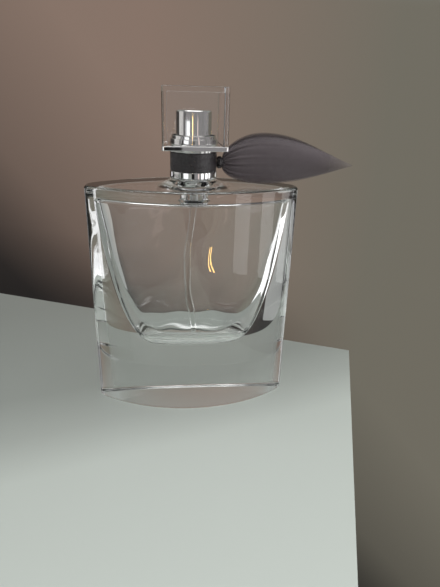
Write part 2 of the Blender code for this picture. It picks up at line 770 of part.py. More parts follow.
def square_ring(angles, half, height, corner=CAP_CORNER):
    """A square with rounded corners."""
    straight = half - corner
    ring = []
    for angle in angles:
        across, up = math.cos(angle), math.sin(angle)
        reach = half / max(abs(across), abs(up))
        x, y = abs(reach * across), abs(reach * up)
        if min(x, y) > straight:  # in the corner, where the ray meets the arc
            dot = straight * (abs(across) + abs(up))
            reach = dot + math.sqrt(max(0.0, dot**2 - 2 * straight**2 + corner**2))
        ring.append(Vector((reach * across, reach * up, height)))
    return ring


def make_cap(paint):
    angles = square_angles()
    loft(
        "cap_shell",
        [
            square_ring(angles, CAP_OUTER - CAP_EDGE, CAP_TOP_Z),
            square_ring(angles, CAP_OUTER, CAP_TOP_Z - CAP_EDGE),
            square_ring(angles, CAP_OUTER, CAP_Z),
            square_ring(angles, CAP_INNER, CAP_Z),
            square_ring(angles, CAP_INNER, CAP_TOP_Z - CAP_TOP - CAP_EDGE),
            square_ring(angles, CAP_INNER - CAP_EDGE, CAP_TOP_Z - CAP_TOP),
        ],
        paint["acrylic"],
    )
    plate = CAP_OUTER + PLATE_LIP
    plate_top = PLATE_Z + PLATE_THICKNESS
    loft(
        "cap_base",
        [
            square_ring(angles, plate, PLATE_Z),
            square_ring(angles, plate, plate_top),
            polar(angles, [GRIP_OUTER] * len(angles), plate_top),
            polar(angles, [GRIP_OUTER] * len(angles), plate_top + GRIP_HEIGHT),
            polar(angles, [GRIP_INNER] * len(angles), plate_top + GRIP_HEIGHT),
            polar(angles, [GRIP_INNER] * len(angles), PLATE_Z),
        ],
        paint["chrome"],
        closed=True,
    )


def main():
    clear_scene()
    paint = make_materials()
    make_glass(paint)
    make_pump_body(paint)
    make_gasket(paint)
    make_ferrule(paint)
    make_stem_and_piston(paint)
    make_spring(paint)
    make_dip_tube(paint)
    make_collar(paint)
    make_band(paint)
    make_knot(paint)
    make_wing("ribbon_wing_front", -1, 0.0, paint)
    make_wing("ribbon_wing_rear", 1, 0.0008, paint)
    make_head(paint)
    make_cap(paint)


main()
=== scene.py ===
"""A clear glass perfume bottle with a bright spray head, a clear square cap and a sheer ribbon.

The file is laid out as an add-on. PropertyGroups hold the sizes and colours, each operator builds one
piece or one group of like pieces, and the panel lists the operators. Run as a script, it builds the
whole bottle on a pale table. Everything is in metres, +Z up, with the bottle's front at -Y.
"""

import math

import bpy
import numpy as np
from bpy.props import FloatProperty, FloatVectorProperty, PointerProperty
from mathutils import Matrix, Vector


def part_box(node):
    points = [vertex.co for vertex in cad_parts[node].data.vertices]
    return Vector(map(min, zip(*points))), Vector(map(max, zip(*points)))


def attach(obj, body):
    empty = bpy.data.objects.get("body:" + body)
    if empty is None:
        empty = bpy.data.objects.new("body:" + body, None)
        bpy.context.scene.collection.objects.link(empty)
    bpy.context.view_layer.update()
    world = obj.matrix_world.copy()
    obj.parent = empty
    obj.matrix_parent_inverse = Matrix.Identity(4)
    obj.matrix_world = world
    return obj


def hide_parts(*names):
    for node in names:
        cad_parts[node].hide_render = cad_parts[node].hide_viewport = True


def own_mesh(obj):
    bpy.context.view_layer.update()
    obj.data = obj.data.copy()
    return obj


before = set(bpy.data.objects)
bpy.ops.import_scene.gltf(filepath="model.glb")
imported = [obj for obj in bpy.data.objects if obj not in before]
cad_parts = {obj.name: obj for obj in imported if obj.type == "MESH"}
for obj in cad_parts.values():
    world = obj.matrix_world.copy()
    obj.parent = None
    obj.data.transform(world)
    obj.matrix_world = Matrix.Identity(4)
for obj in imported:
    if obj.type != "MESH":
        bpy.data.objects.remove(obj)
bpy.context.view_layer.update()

bl_info = {
    "name": "Ribbon Perfume Bottle",
    "version": (1, 0, 0),
    "blender": (4, 5, 0),
    "location": "View3D > Sidebar > Perfume Bottle",
    "description": "Builds a glass perfume bottle with a spray pump, a clear cap and a sheer ribbon",
    "category": "Add Mesh",
}

TAU = 2 * math.pi
SHARP = 0.0002  # the smallest radius of a square ring's corners


# ---- Settings ------------------------------------------------------------------------------------
def length(name, description, default):
    """A size in metres."""
    return FloatProperty(name=name, description=description, default=default, unit="LENGTH", precision=5)


def colour(name, description, default):
    """A linear colour."""
    return FloatVectorProperty(
        name=name, description=description, default=default, subtype="COLOR", size=3, min=0, max=1
    )


def number(name, description, default):
    """A plain number."""
    return FloatProperty(name=name, description=description, default=default)


class GlassSizes(bpy.types.PropertyGroup):
    """The blown glass: its outside, and the smile-shaped pouch inside it."""

    height: length("Height", "From the base to the shoulder's corners", 0.0914)
    width_top: length("Top width", "Across the shoulder's corners", 0.0820)
    width_base: length("Base width", "Across the base's corners", 0.0805)
    side_top: length("Side depth at the top", "Front to back of the narrow side", 0.0069)
    side_base: length("Side depth at the base", "Front to back of the narrow side", 0.0047)
    bow_top: length("Bow at the top", "How far the curved front stands out", 0.0147)
    bow_base: length("Bow at the base", "How far the curved front stands out", 0.0138)
    corner_power: number("Corner sharpness", "Sharpness of the upright corners", 40)
    base_run: length("Base edge run", "Inward size of the rounded base edge", 0.0018)
    base_rise: length("Base edge rise", "Height of the rounded base edge", 0.0012)
    top_edge: length("Top edge radius", "Radius of the shoulder's edge", 0.0010)
    crown: length("Crown", "Rise of the shoulder from its ends to its middle", 0.0004)
    front_wall: length("Front wall", "Glass in front of the pouch", 0.0040)
    side_wall: length("Side wall", "Glass beside the pouch at its top", 0.0043)
    floor: length("Base thickness", "Glass under the pouch", 0.0270)
    ceiling: length("Ceiling thickness", "Glass above the pouch", 0.0044)
    ceiling_edge: length("Ceiling edge", "Radius where the ceiling meets the wall", 0.0015)
    pouch_power: number("Smile", "How steeply the pouch's sides rise", 4.6)
    pouch_round: length("Floor rounding", "Height over which the floor rounds up", 0.0078)
    pouch_corner: number("Pouch tips", "Sharpness of the pouch's upright tips", 16)
    ripple: length("Ripple", "Unevenness of the blown inside", 0.00007)
    foot_radius: length("Foot radius", "The land that the collar sits on", 0.0086)
    foot_rise: length("Foot rise", "From the shoulder up to the land", 0.0022)
    flare: length("Flare", "Width of the slope up to the land", 0.0064)
    finish_radius: length("Finish radius", "The bead that the pump is crimped onto", 0.0072)
    throat_radius: length("Throat radius", "The neck below the bead", 0.0066)
    throat_height: length("Throat height", "From the land to the bead", 0.0034)
    bead_height: length("Bead height", "Height of the bead", 0.0040)
    bore_radius: length("Bore radius", "Inside of the neck", 0.0047)


class PumpSizes(bpy.types.PropertyGroup):
    """The spray pump: its clear tube, its housing and its return spring."""

    tube_radius: length("Tube radius", "Outside of the dip tube", 0.00125)
    tube_wall: length("Tube wall", "Wall of the dip tube", 0.00035)
    tube_lean: length("Tube lean", "How far back the tube's lower end lies", 0.0034)
    tube_sway: length("Tube sway", "How far to the side its middle bows", -0.0025)
    tube_drift: length("Tube drift", "How far to the side its lower end lies", 0.0008)
    chamber_radius: length("Chamber radius", "Outside of the pump's chamber", 0.0041)
    chamber_wall: length("Chamber wall", "Wall of the pump's chamber", 0.00085)
    inlet_radius: length("Inlet radius", "Outside of the inlet spigot", 0.0022)
    inlet_length: length("Inlet length", "From the chamber down to the inlet's end", 0.00518)
    flange: length("Flange thickness", "The ring that is crimped onto the neck", 0.0007)
    valve_radius: length("Valve radius", "The ball's cage", 0.0014)
    spring_radius: length("Spring radius", "To the middle of the wire", 0.0022)
    spring_wire: length("Spring wire", "Radius of the wire", 0.00025)
    spring_turns: number("Spring turns", "Number of turns", 4)


class CollarSizes(bpy.types.PropertyGroup):
    """The bright collar over the crimp, and the spray head above it."""

    inner_radius: length("Inner radius", "Inside of the collar", 0.0081)
    groove_radius: length("Groove radius", "Behind the ribbon", 0.0084)
    rim_radius: length("Rim radius", "The two rims beside the ribbon", 0.00895)
    bottom_rim: length("Bottom rim", "Height of the lower rim", 0.0029)
    top_rim: length("Top rim", "Height of the upper rim", 0.0008)
    sleeve_radius: length("Sleeve radius", "The upper sleeve round the head", 0.0082)
    sleeve_wall: length("Sleeve wall", "Wall of the upper sleeve", 0.0005)
    sleeve_height: length("Sleeve height", "Above the upper rim", 0.0051)
    soft: length("Edge softness", "Roundness of the collar's edges", 0.00025)
    head_edge: length("Head edge", "Roundness of the head's top edge", 0.0008)
    head_wall: length("Head wall", "Wall of the head's plated shell", 0.00035)
    dimple: length("Finger dimple", "Depth of the hollow in the head's top", 0.00035)
    nozzle_radius: length("Nozzle radius", "Outside of the spray insert", 0.0013)
    nozzle_drop: length("Nozzle drop", "From the head's top to the nozzle", 0.0038)


class RibbonSizes(bpy.types.PropertyGroup):
    """The ribbon: a band round the collar, a knot and two wings."""

    band_radius: length("Band radius", "Inside of the band", 0.0085)
    band_thickness: length("Band thickness", "The folded ribbon in the groove", 0.00036)
    crease: length("Crease", "Depth of the band's creases", 0.00011)
    knot_height: length("Knot height", "Half the height of the knot", 0.0022)
    knot_depth: length("Knot depth", "Half the front to back of the knot", 0.0020)
    wing_start: length("Wing start", "From the neck's axis to the wings", 0.01095)
    wing_length: length("Wing length", "From the knot to the tip", 0.0479)
    wing_width: length("Wing width", "At the widest", 0.0172)
    wing_root: length("Root width", "Where a wing leaves the knot", 0.0034)
    wing_rise: length("Wing rise", "From the knot's middle to the wing's middle", 0.00085)
    wing_arch: length("Wing arch", "How far the middle of a wing's length rises", 0.0006)
    wing_lean: length("Wing lean", "How far each tip lies before or behind the knot", 0.0110)
    cloth: length("Cloth thickness", "Thickness of the sheer cloth", 0.00012)
    pleat_depth: length("Pleat depth", "Depth of the gathers at the knot", 0.00042)
    pleats: number("Pleats", "Gathers across a wing", 7)
    threads: number("Threads", "Threads in a metre of cloth", 3600)


class CapSizes(bpy.types.PropertyGroup):
    """The clear square cap and the bright plate that it stands on."""

    wall: length("Wall", "Side walls", 0.0017)
    top: length("Top", "Thickness of the top", 0.0018)
    corner: length("Corner", "Radius of the upright corners", 0.0010)
    edge: length("Edge", "Radius of the other edges", 0.0004)
    plate: length("Plate thickness", "The plate under the cap", 0.0016)
    grip_radius: length("Grip radius", "Inside of the ring that holds the cap on", 0.0083)
    grip_wall: length("Grip wall", "Wall of that ring", 0.0005)


class Colours(bpy.types.PropertyGroup):
    """Base colours, all linear."""

    glass: colour("Glass", "The blown glass", (0.985, 0.995, 0.990))
    acrylic: colour("Acrylic", "The cap", (0.99, 0.99, 0.985))
    chrome: colour("Chrome", "The collar, the head and the cap's plate", (0.80, 0.79, 0.78))
    satin: colour("Satin", "The band and the knot", (0.018, 0.014, 0.016))
    organza: colour("Organza", "The sheer wings", (0.120, 0.100, 0.107))
    natural: colour("Natural plastic", "The pump's housing", (0.86, 0.88, 0.87))
    white: colour("White plastic", "The stem and the inner parts", (0.78, 0.78, 0.76))
    steel: colour("Steel", "The spring and the ball", (0.60, 0.60, 0.61))
    aluminium: colour("Aluminium", "The crimped ferrule", (0.72, 0.72, 0.73))
    rubber: colour("Rubber", "The gasket", (0.035, 0.035, 0.037))


class Settings(bpy.types.PropertyGroup):
    """Everything that a user would change."""

    glass: PointerProperty(type=GlassSizes)
    pump: PointerProperty(type=PumpSizes)
    collar: PointerProperty(type=CollarSizes)
    ribbon: PointerProperty(type=RibbonSizes)
    cap: PointerProperty(type=CapSizes)
    colours: PointerProperty(type=Colours)


def settings():
    return bpy.context.scene.perfume_bottle


# ---- Mesh making ---------------------------------------------------------------------------------
def grid_faces(rows, columns, close_rows, close_columns):
    """Quads of a grid of points, numbered row by row, as one index array."""
    last_row = rows if close_rows else rows - 1
    last_column = columns if close_columns else columns - 1
    row, column = np.meshgrid(np.arange(last_row), np.arange(last_column), indexing="ij")
    next_row, next_column = (row + 1) % rows, (column + 1) % columns
    corners = [
        row * columns + column,
        row * columns + next_column,
        next_row * columns + next_column,
        next_row * columns + column,
    ]
    return np.stack(corners, axis=-1).reshape(-1, 4)


def new_piece(name, points, quads, fans=(), uv=None, flip=False):
    """Makes a mesh object from arrays. Each fan is (ring of point numbers, middle point number)."""
    faces = [quads[:, ::-1] if flip else quads]
    loops = faces[0].reshape(-1)
    sizes = np.full(len(quads), 4)
    for ring, middle in fans:
        triangles = np.stack([ring, np.roll(ring, -1), np.full_like(ring, middle)], axis=-1)
        triangles = triangles[:, ::-1] if flip else triangles
        loops = np.concatenate([loops, triangles.reshape(-1)])
        sizes = np.concatenate([sizes, np.full(len(triangles), 3)])
    mesh = bpy.data.meshes.new(name)
    mesh.vertices.add(len(points))
    mesh.vertices.foreach_set("co", np.ascontiguousarray(points, dtype=np.float32).reshape(-1))
    mesh.loops.add(len(loops))
    mesh.loops.foreach_set("vertex_index", loops.astype(np.int32))
    mesh.polygons.add(len(sizes))
    starts = np.concatenate([[0], np.cumsum(sizes)[:-1]])
    mesh.polygons.foreach_set("loop_start", starts.astype(np.int32))
    mesh.update(calc_edges=True)
    if uv is not None:
        layer = mesh.uv_layers.new(name="weave")
        layer.data.foreach_set("uv", uv[loops].astype(np.float32).reshape(-1))
    mesh.validate()
    mesh.shade_smooth()
    piece = bpy.data.objects.new(name, mesh)
    bpy.context.scene.collection.objects.link(piece)
    return piece


def loft(name, rings, close_rows=False, poles=(), flip=False):
    """Joins rings[row, column] into a skin. poles are the points that close its first and last rings."""
    rows, columns = rings.shape[:2]
    points = rings.reshape(-1, 3)
    fans = []
    if len(poles):
        first = np.arange(columns)
        last = np.arange(columns) + (rows - 1) * columns
        fans = [(first[::-1], len(points)), (last, len(points) + 1)]
        points = np.concatenate([points, poles])
    return new_piece(name, points, grid_faces(rows, columns, close_rows, True), fans, flip=flip)


def lathe(name, profile, sides=128):
    """Spins an outline of (radius, height, fillet) corners about Z. It runs up the outside and down the
    inside, and closes on itself unless it starts and ends on the axis."""
    domed = profile[0][0] == 0
    outline = filleted(profile, closed=not domed)
    angles = np.linspace(0, TAU, sides, endpoint=False)
    if not domed:
        return loft(name, np.stack([circle(angles, *spot) for spot in outline]), close_rows=True)
    rings = np.stack([circle(angles, *spot) for spot in outline[1:-1]])
    poles = np.array([(0, 0, outline[0][1]), (0, 0, outline[-1][1])])
    return loft(name, rings, poles=poles)


def swept(name, path, radius, sides=20, wall=None):
    """A round rod, or a tube if wall is given, along the points of path. Each ring stands square to the
    path, on the two directions that the path's tangent makes with Y."""
    along = np.gradient(path, axis=0)
    along /= np.linalg.norm(along, axis=1, keepdims=True)
    side = np.cross(along, (0, 1, 0))
    side /= np.linalg.norm(side, axis=1, keepdims=True)
    front = np.cross(side, along)
    turns = np.linspace(0, TAU, sides, endpoint=False)
    spokes = side[:, None] * np.cos(turns)[:, None] + front[:, None] * np.sin(turns)[:, None]
    outer = path[:, None] + radius * spokes
    if wall is None:
        return loft(name, outer, poles=np.array([path[0], path[-1]]))
    inner = path[:, None] + (radius - wall) * spokes
    return loft(name, np.concatenate([outer, inner[::-1]]), close_rows=True)


def fitted(piece, material, body, slot, *nodes):
    """Gives a finished piece its material and body, and hides the CAD nodes that it stands for. slot is not
    used.
    """
    piece.data.materials.append(material)
    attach(piece, body)
    if nodes:
        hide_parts(*nodes)
    return piece


# ---- Glass ---------------------------------------------------------------------------------------
def lens_angles(fine=0.5, coarse=1.6, tip=24.0):
    """Angles round the outline in radians, closer together at both narrow ends."""
    near = np.arange(-tip, tip, fine)
    far = np.linspace(tip, 180 - tip, int((180 - 2 * tip) / coarse) + 1)[:-1]
    return np.radians(np.concatenate([near, far, near + 180, far + 180]))


def lens_ring(angles, height, inset=0.0, width_share=1.0, power=None, flatten=1.0, inset_x=None):
    """One level of the lens-shaped body or pouch.

    The outline is where a ray from the axis meets either the front arc or the flat side, whichever
    comes first. The two distances a and b are joined as (a^-n + b^-n)^(-1/n), which rounds the corner.
    """
    g = settings().glass
    amount = height / g.height
    half = (g.width_base + (g.width_top - g.width_base) * amount) / 2
    side = (g.side_base + (g.side_top - g.side_base) * amount) / 2
    bow = g.bow_base + (g.bow_top - g.bow_base) * amount
    arc = (half**2 + bow**2) / (2 * bow)
    centre = arc - side - bow
    arc = arc - inset
    half = (half - (inset if inset_x is None else inset_x)) * width_share
    power = power or g.corner_power
    x, y = half * np.cos(angles), (arc - centre) * np.sin(angles)
    square = x**2 + y**2
    lean = np.abs(y) * centre
    to_arc = (np.sqrt(lean**2 + square * (arc**2 - centre**2)) - lean) / square
    to_side = 1 / np.maximum(np.abs(np.cos(angles)), 1e-9)
    reach = (to_arc**-power + to_side**-power) ** (-1 / power)
    return np.stack([x * reach, y * reach * flatten, np.full_like(x, height)], axis=-1)


def shoulder_height(points):
    """The crown falls off as the square of x. The flare rises as the square of the nearness to the neck."""
    g = settings().glass
    x, y = points[..., 0], points[..., 1]
    crown = g.crown * np.maximum(0, 1 - (2 * x / g.width_top) ** 2)
    near = (g.foot_radius + g.flare - np.hypot(x, y)) / g.flare
    return crown + g.foot_rise * np.clip(near, 0, 1) ** 2


def on_shoulder(points, drop=0.0):
    """Sets points at the shoulder's height, or that far below it."""
    g = settings().glass
    placed = points.copy()
    placed[..., 2] = g.height - drop + shoulder_height(points)
    return placed


def circle(angles, radius, height):
    """A round ring."""
    ring = [radius * np.cos(angles), radius * np.sin(angles), np.full_like(angles, height)]
    return np.stack(ring, axis=-1)


def spread(start, end, steps, margin):
    """Heights from start to end, with one close to each end so that the shading stays flat between."""
    inner = np.linspace(start + margin, end - margin, steps)
    return np.concatenate([[start], inner, [end]])


def glass_outside(angles):
    """Rings from the middle of the base, round its edge, up the wall and over the shoulder."""
    g = settings().glass
    rings = [lens_ring(angles, 0, g.base_run, share) for share in (0.02, 0.5, 0.97)]
    for turn in np.radians(np.linspace(0, 90, 9)):
        inset = g.base_run * (1 - math.sin(turn))
        rings.append(lens_ring(angles, g.base_rise * (1 - math.cos(turn)), inset))
    for height in spread(g.base_rise, g.height - g.top_edge, 14, 0.0003)[1:-1]:
        rings.append(lens_ring(angles, height))
    for turn in np.radians(np.linspace(0, 90, 8)):
        inset = g.top_edge * (1 - math.cos(turn))
        ring = lens_ring(angles, g.height, inset)
        rings.append(on_shoulder(ring, g.top_edge * (1 - math.sin(turn))))
    edge, flare = rings[-1], circle(angles, g.foot_radius + g.flare, g.height)
    for amount in (0.015, 0.1, 0.2, 0.35, 0.5, 0.65, 0.8, 0.92, 1.0):
        rings.append(on_shoulder(edge + (flare - edge) * amount))
    for amount in np.linspace(0.06, 1, 14):
        rings.append(on_shoulder(circle(angles, g.foot_radius + g.flare * (1 - amount), g.height)))
    return rings


def neck_rings(angles):
    """The land, the throat, the bead with its rounded lip, and the bore down to the ceiling."""
    g = settings().glass
    foot = g.height + g.crown + g.foot_rise
    bead = foot + g.throat_height
    top = bead + g.bead_height
    ceiling = g.height - g.ceiling
    profile = [
        (g.foot_radius, foot, 0.0003),
        (g.throat_radius, foot, 0.0004),
        (g.throat_radius, bead, 0.0003),
        (g.finish_radius, bead + 0.0004, 0.0003),
        (g.finish_radius, top, 0.0004),
        (g.bore_radius, top, 0.0004),
        (g.bore_radius, ceiling, g.ceiling_edge),
        (g.foot_radius, ceiling, 0.0),
    ]
    return [circle(angles, radius, height) for radius, height in filleted(profile)[1:]]


def filleted(profile, steps=6, margin=0.00015, closed=False):
    """An outline of (radius, height, fillet) corners with an arc at each, and a point on either side
    of each arc so that smooth shading doesn't bend the straight stretches."""
    corners = np.array([corner[:2] for corner in profile], dtype=float)
    fillets = [corner[2] for corner in profile]
    made = []
    for i, (corner, fillet) in enumerate(zip(corners, fillets)):
        ends = i in (0, len(corners) - 1) and not closed
        if ends or fillet <= 0:
            made.append(corner[None])
            continue
        before = corners[i - 1] - corner
        after = corners[(i + 1) % len(corners)] - corner
        room = 0.49 * min(np.linalg.norm(before), np.linalg.norm(after))
        before, after = before / np.linalg.norm(before), after / np.linalg.norm(after)
        cut = min(fillet, room)
        amount = np.linspace(0, 1, steps)[:, None]
        start, end = corner + before * cut, corner + after * cut
        arc = (1 - amount) ** 2 * start + 2 * amount * (1 - amount) * corner + amount**2 * end
        lead = [corner + before * min(cut + margin, 2 * room * 0.98)]
        tail = [corner + after * min(cut + margin, 2 * room * 0.98)]
        made.append(np.concatenate([lead, arc, tail]))
    return np.concatenate(made)


def pouch_level(angles, height, share, inset=0.0):
    """One level of the pouch. Its depth grows from the floor up as a quarter ellipse."""
    g = settings().glass
    rise = np.clip((height - g.floor) / g.pouch_round, 1e-6, 1)
    flatten = math.sqrt(rise * (2 - rise))
    inset_x = g.side_wall + inset
    return lens_ring(angles, height, g.front_wall + inset, share, g.pouch_corner, flatten, inset_x)


def pouch_rings(angles):
    """Rings from the ceiling down. Half the width is the height above the floor to the power 1/n."""
    g = settings().glass
    ceiling = g.height - g.ceiling
    top = ceiling - g.ceiling_edge
    rim = pouch_level(angles, ceiling, 1.0, g.ceiling_edge)
    mouth = circle(angles, g.foot_radius, ceiling)
    rings = [mouth + (rim - mouth) * amount for amount in (0.3, 0.6, 0.9, 0.98)]
    for turn in np.radians(np.linspace(0, 90, 7)):
        inset = g.ceiling_edge * (1 - math.sin(turn))
        height = ceiling - g.ceiling_edge * (1 - math.cos(turn))
        rings.append(pouch_level(angles, height, 1.0, inset))
    shares = np.concatenate([1 - 0.004 * np.arange(1, 6), np.linspace(0.975, 0.02, 56)])
    for share in shares:
        rings.append(pouch_level(angles, g.floor + (top - g.floor) * share**g.pouch_power, share))
    return rings


def rippled(rings, size):
    """Moves points along Y by three slow crossing waves, as on blown glass. The waves die out where the
    pouch is thin front to back, and fade to a sixth or so over its lowest stretch. All in millimetres."""
    thin, lowest = 4, 12
    x, y, z = rings[..., 0] * 1000, rings[..., 1] * 1000, rings[..., 2] * 1000
    side = np.sign(y)
    wave = np.sin(x * 0.31 + z * 0.17 + side) + np.sin(z * 0.43 - x * 0.12 + 2 * side)
    wave = wave + np.sin(x * 0.53 - z * 0.29 + 3 * side)
    above_floor = z - 1000 * settings().glass.floor
    fade = np.clip(np.abs(y) / thin, 0, 1) * np.clip(above_floor / lowest, 0.15, 1)
    moved = rings.copy()
    moved[..., 1] += size * wave * fade
    return moved


class BOTTLE_OT_glass(bpy.types.Operator):
    """Blow the glass body, with its neck and its pouch in one skin"""

    bl_idname = "perfume.glass"
    bl_label = "Glass Body"

    def execute(self, context):
        g = settings().glass
        angles = lens_angles()
        outside = glass_outside(angles) + neck_rings(angles)
        pouch = rippled(np.stack(pouch_rings(angles)), g.ripple)
        rings = np.concatenate([np.stack(outside), pouch])
        poles = np.array([(0, 0, 0), (0, 0, g.floor)])
        body = loft("glass_body", rings, poles=poles)
        fitted(body, glass_material(), "bottle", "clear_glass", "glass_bottle")
        body.visible_shadow = False
        return {"FINISHED"}


# ---- Pump ----------------------------------------------------------------------------------------
def tube_path(steps=90):
    """The dip tube's middle. Down the free length f it bows aside as sin(pi f) squared and drifts as
    f squared, and it leans back as sin(pi f / 2) squared."""
    p = settings().pump
    low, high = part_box("dip_tube")
    amount = np.linspace(0, 1, steps)
    free = np.clip((amount - 0.06) / 0.94, 0, 1)
    x = p.tube_sway * np.sin(math.pi * free) ** 2 + p.tube_drift * free**2
    y = p.tube_lean * np.sin(math.pi * free / 2) ** 2
    return np.stack([x, y, high[2] + (low[2] - high[2]) * amount], axis=-1)


class BOTTLE_OT_dip_tube(bpy.types.Operator):
    """Hang the clear dip tube from the pump, bowed a little as a drawn tube is"""

    bl_idname = "perfume.dip_tube"
    bl_label = "Dip Tube"

    def execute(self, context):
        p = settings().pump
        tube = swept("dip_tube_clear", tube_path(), p.tube_radius, 28, p.tube_wall)
        fitted(tube, tube_material(), "bottle", "clear_plastic", "dip_tube")
        tube.visible_shadow = False
        return {"FINISHED"}


class BOTTLE_OT_pump(bpy.types.Operator):
    """Turn the pump's milky housing, with its flange, chamber, ball cage and inlet"""

    bl_idname = "perfume.pump"
    bl_label = "Pump Housing"

    def execute(self, context):
        p = settings().pump
        low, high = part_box("pump_body")
        chamber = low[2] + p.inlet_length
        floor = chamber + p.chamber_wall
        inside = p.chamber_radius - p.chamber_wall
        seat = p.valve_radius / 2
        socket = p.tube_radius + 0.0001
        socket_top = low[2] + 0.0025
        housing = lathe(
            "pump_housing",
            [
                (p.inlet_radius, low[2], 0.0002),
                (p.inlet_radius, chamber - p.chamber_wall, 0.0006),
                (p.chamber_radius, floor, 0.0006),
                (p.chamber_radius, high[2] - p.flange, 0.0002),
                (high[0], high[2] - p.flange, 0.0001),
                (high[0], high[2], 0.0001),
                (inside, high[2], 0.0002),
                (inside, floor, 0.0002),
                (p.valve_radius, chamber, 0.0002),
                (p.valve_radius, chamber - 0.00108, 0.0002),
                (seat, chamber - 0.00228, 0.0),
                (seat, socket_top, 0.0),
                (socket, socket_top, 0.0001),
                (socket, low[2], 0.0001),
            ],
        )
        fitted(housing, natural_material(), "bottle", "natural_plastic", "pump_body")
        return {"FINISHED"}


class BOTTLE_OT_spring(bpy.types.Operator):
    """Coil the return spring"""

    bl_idname = "perfume.spring"
    bl_label = "Return Spring"

    def execute(self, context):
        p = settings().pump
        low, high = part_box("return_spring")
        turns = np.linspace(0, 1, int(p.spring_turns * 48))
        angle = TAU * p.spring_turns * turns
        bottom, top = low[2] + p.spring_wire, high[2] - p.spring_wire
        x, y = p.spring_radius * np.cos(angle), p.spring_radius * np.sin(angle)
        path = np.stack([x, y, bottom + (top - bottom) * turns], axis=-1)
        spring = self.coil(path, p.spring_wire)
        fitted(spring, steel_material(), "bottle", "spring_steel", "return_spring")
        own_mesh(spring)
        return {"FINISHED"}

    def coil(self, path, radius):
        """Rings round the helix, on its outward direction and on Z."""
        out = path * (1, 1, 0)
        out /= np.linalg.norm(out, axis=1, keepdims=True)
        turns = np.linspace(0, TAU, 14, endpoint=False)[::-1]
        up = np.array((0, 0, 1.0))
        spokes = out[:, None] * np.cos(turns)[:, None] + up * np.sin(turns)[:, None]
        return loft("spring_wire", path[:, None] + radius * spokes, poles=np.array([path[0], path[-1]]))


class BOTTLE_OT_inner_parts(bpy.types.Operator):
    """Finish the parts that the collar and the head hide, on their own solids"""

    bl_idname = "perfume.inner_parts"
    bl_label = "Inner Parts"

    def execute(self, context):
        finishes = [
            (natural_material(), ["piston"]),
            (white_material(), ["stem", "stem_bush", "collar_liner", "actuator_core"]),
            (steel_material(), ["inlet_ball"]),
            (aluminium_material(), ["crimp_ferrule"]),
            (rubber_material(), ["neck_gasket"]),
        ]
        for material, names in finishes:
            for name in names:
                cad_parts[name].material_slots[0].material = material
        return {"FINISHED"}


# ---- Collar and head -----------------------------------------------------------------------------
class BOTTLE_OT_collar(bpy.types.Operator):
    """Turn the bright collar, with a groove for the ribbon and a sleeve round the head"""

    bl_idname = "perfume.collar"
    bl_label = "Collar"

    def execute(self, context):
        c = settings().collar
        low, high = (corner[2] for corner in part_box("collar_shell"))
        groove = low + c.bottom_rim
        shelf = high - c.sleeve_height
        lip = shelf - c.top_rim
        collar = lathe(
            "collar_chrome",
            [
                (c.inner_radius, low, 0.00006),
                (c.rim_radius - c.soft, low, c.soft),
                (c.rim_radius, low + 2 * c.soft, c.soft),
                (c.rim_radius, groove, c.soft),
                (c.groove_radius, groove, 0.00008),
                (c.groove_radius, lip, 0.00008),
                (c.rim_radius, lip, c.soft),
                (c.rim_radius, shelf, c.soft),
                (c.sleeve_radius, shelf, 0.0002),
                (c.sleeve_radius, high, c.soft),
                (c.sleeve_radius - c.sleeve_wall, high, 0.00015),
                (c.sleeve_radius - c.sleeve_wall, lip, 0.0),
                (c.inner_radius, lip, 0.0),
            ],
            192,
        )
        fitted(collar, chrome_material(), "bottle", "chrome", "collar_shell")
        return {"FINISHED"}


def strips(rows):
    """Quads between rows of point numbers, each row closed on itself."""
    turned = np.roll(rows, -1, axis=1)
    return np.stack([rows[:-1], turned[:-1], turned[1:], rows[1:]], axis=-1).reshape(-1, 4)


def with_hole(angles, heights, radius, hole):
    """A cylinder's grid with a round hole facing +Y, as flat (along, up) points from the hole, and quads.

    The square of grid cells round the hole is taken out. Rings run from its border to the hole's rim:
    each point moves from the square to the circle, in step with the rest.
    """
    theta, height = np.meshgrid(angles, heights)
    flat = np.stack([(theta - math.pi / 2) * radius, height - hole["height"]], axis=-1).reshape(-1, 2)
    reach = np.abs(flat).max(axis=1)
    quads = grid_faces(len(heights), len(angles), False, True)
    quads = quads[~(reach < hole["reach"] - 1e-7)[quads].any(axis=1)]
    border = np.flatnonzero(np.isclose(reach, hole["reach"], atol=1e-7))
    turn = np.arctan2(flat[border, 1], flat[border, 0])
    border, turn = border[np.argsort(turn)], np.sort(turn)
    square = flat[border]
    rim = hole["radius"] * np.stack([np.cos(turn), np.sin(turn)], axis=-1)
    patch = square + (rim - square) * np.array(hole["steps"])[:, None, None]
    numbers = len(flat) + np.arange(patch.size // 2).reshape(len(patch), -1)
    rings = np.concatenate([border[None], numbers])
    return np.concatenate([flat, patch.reshape(-1, 2)]), np.concatenate([quads, strips(rings)])


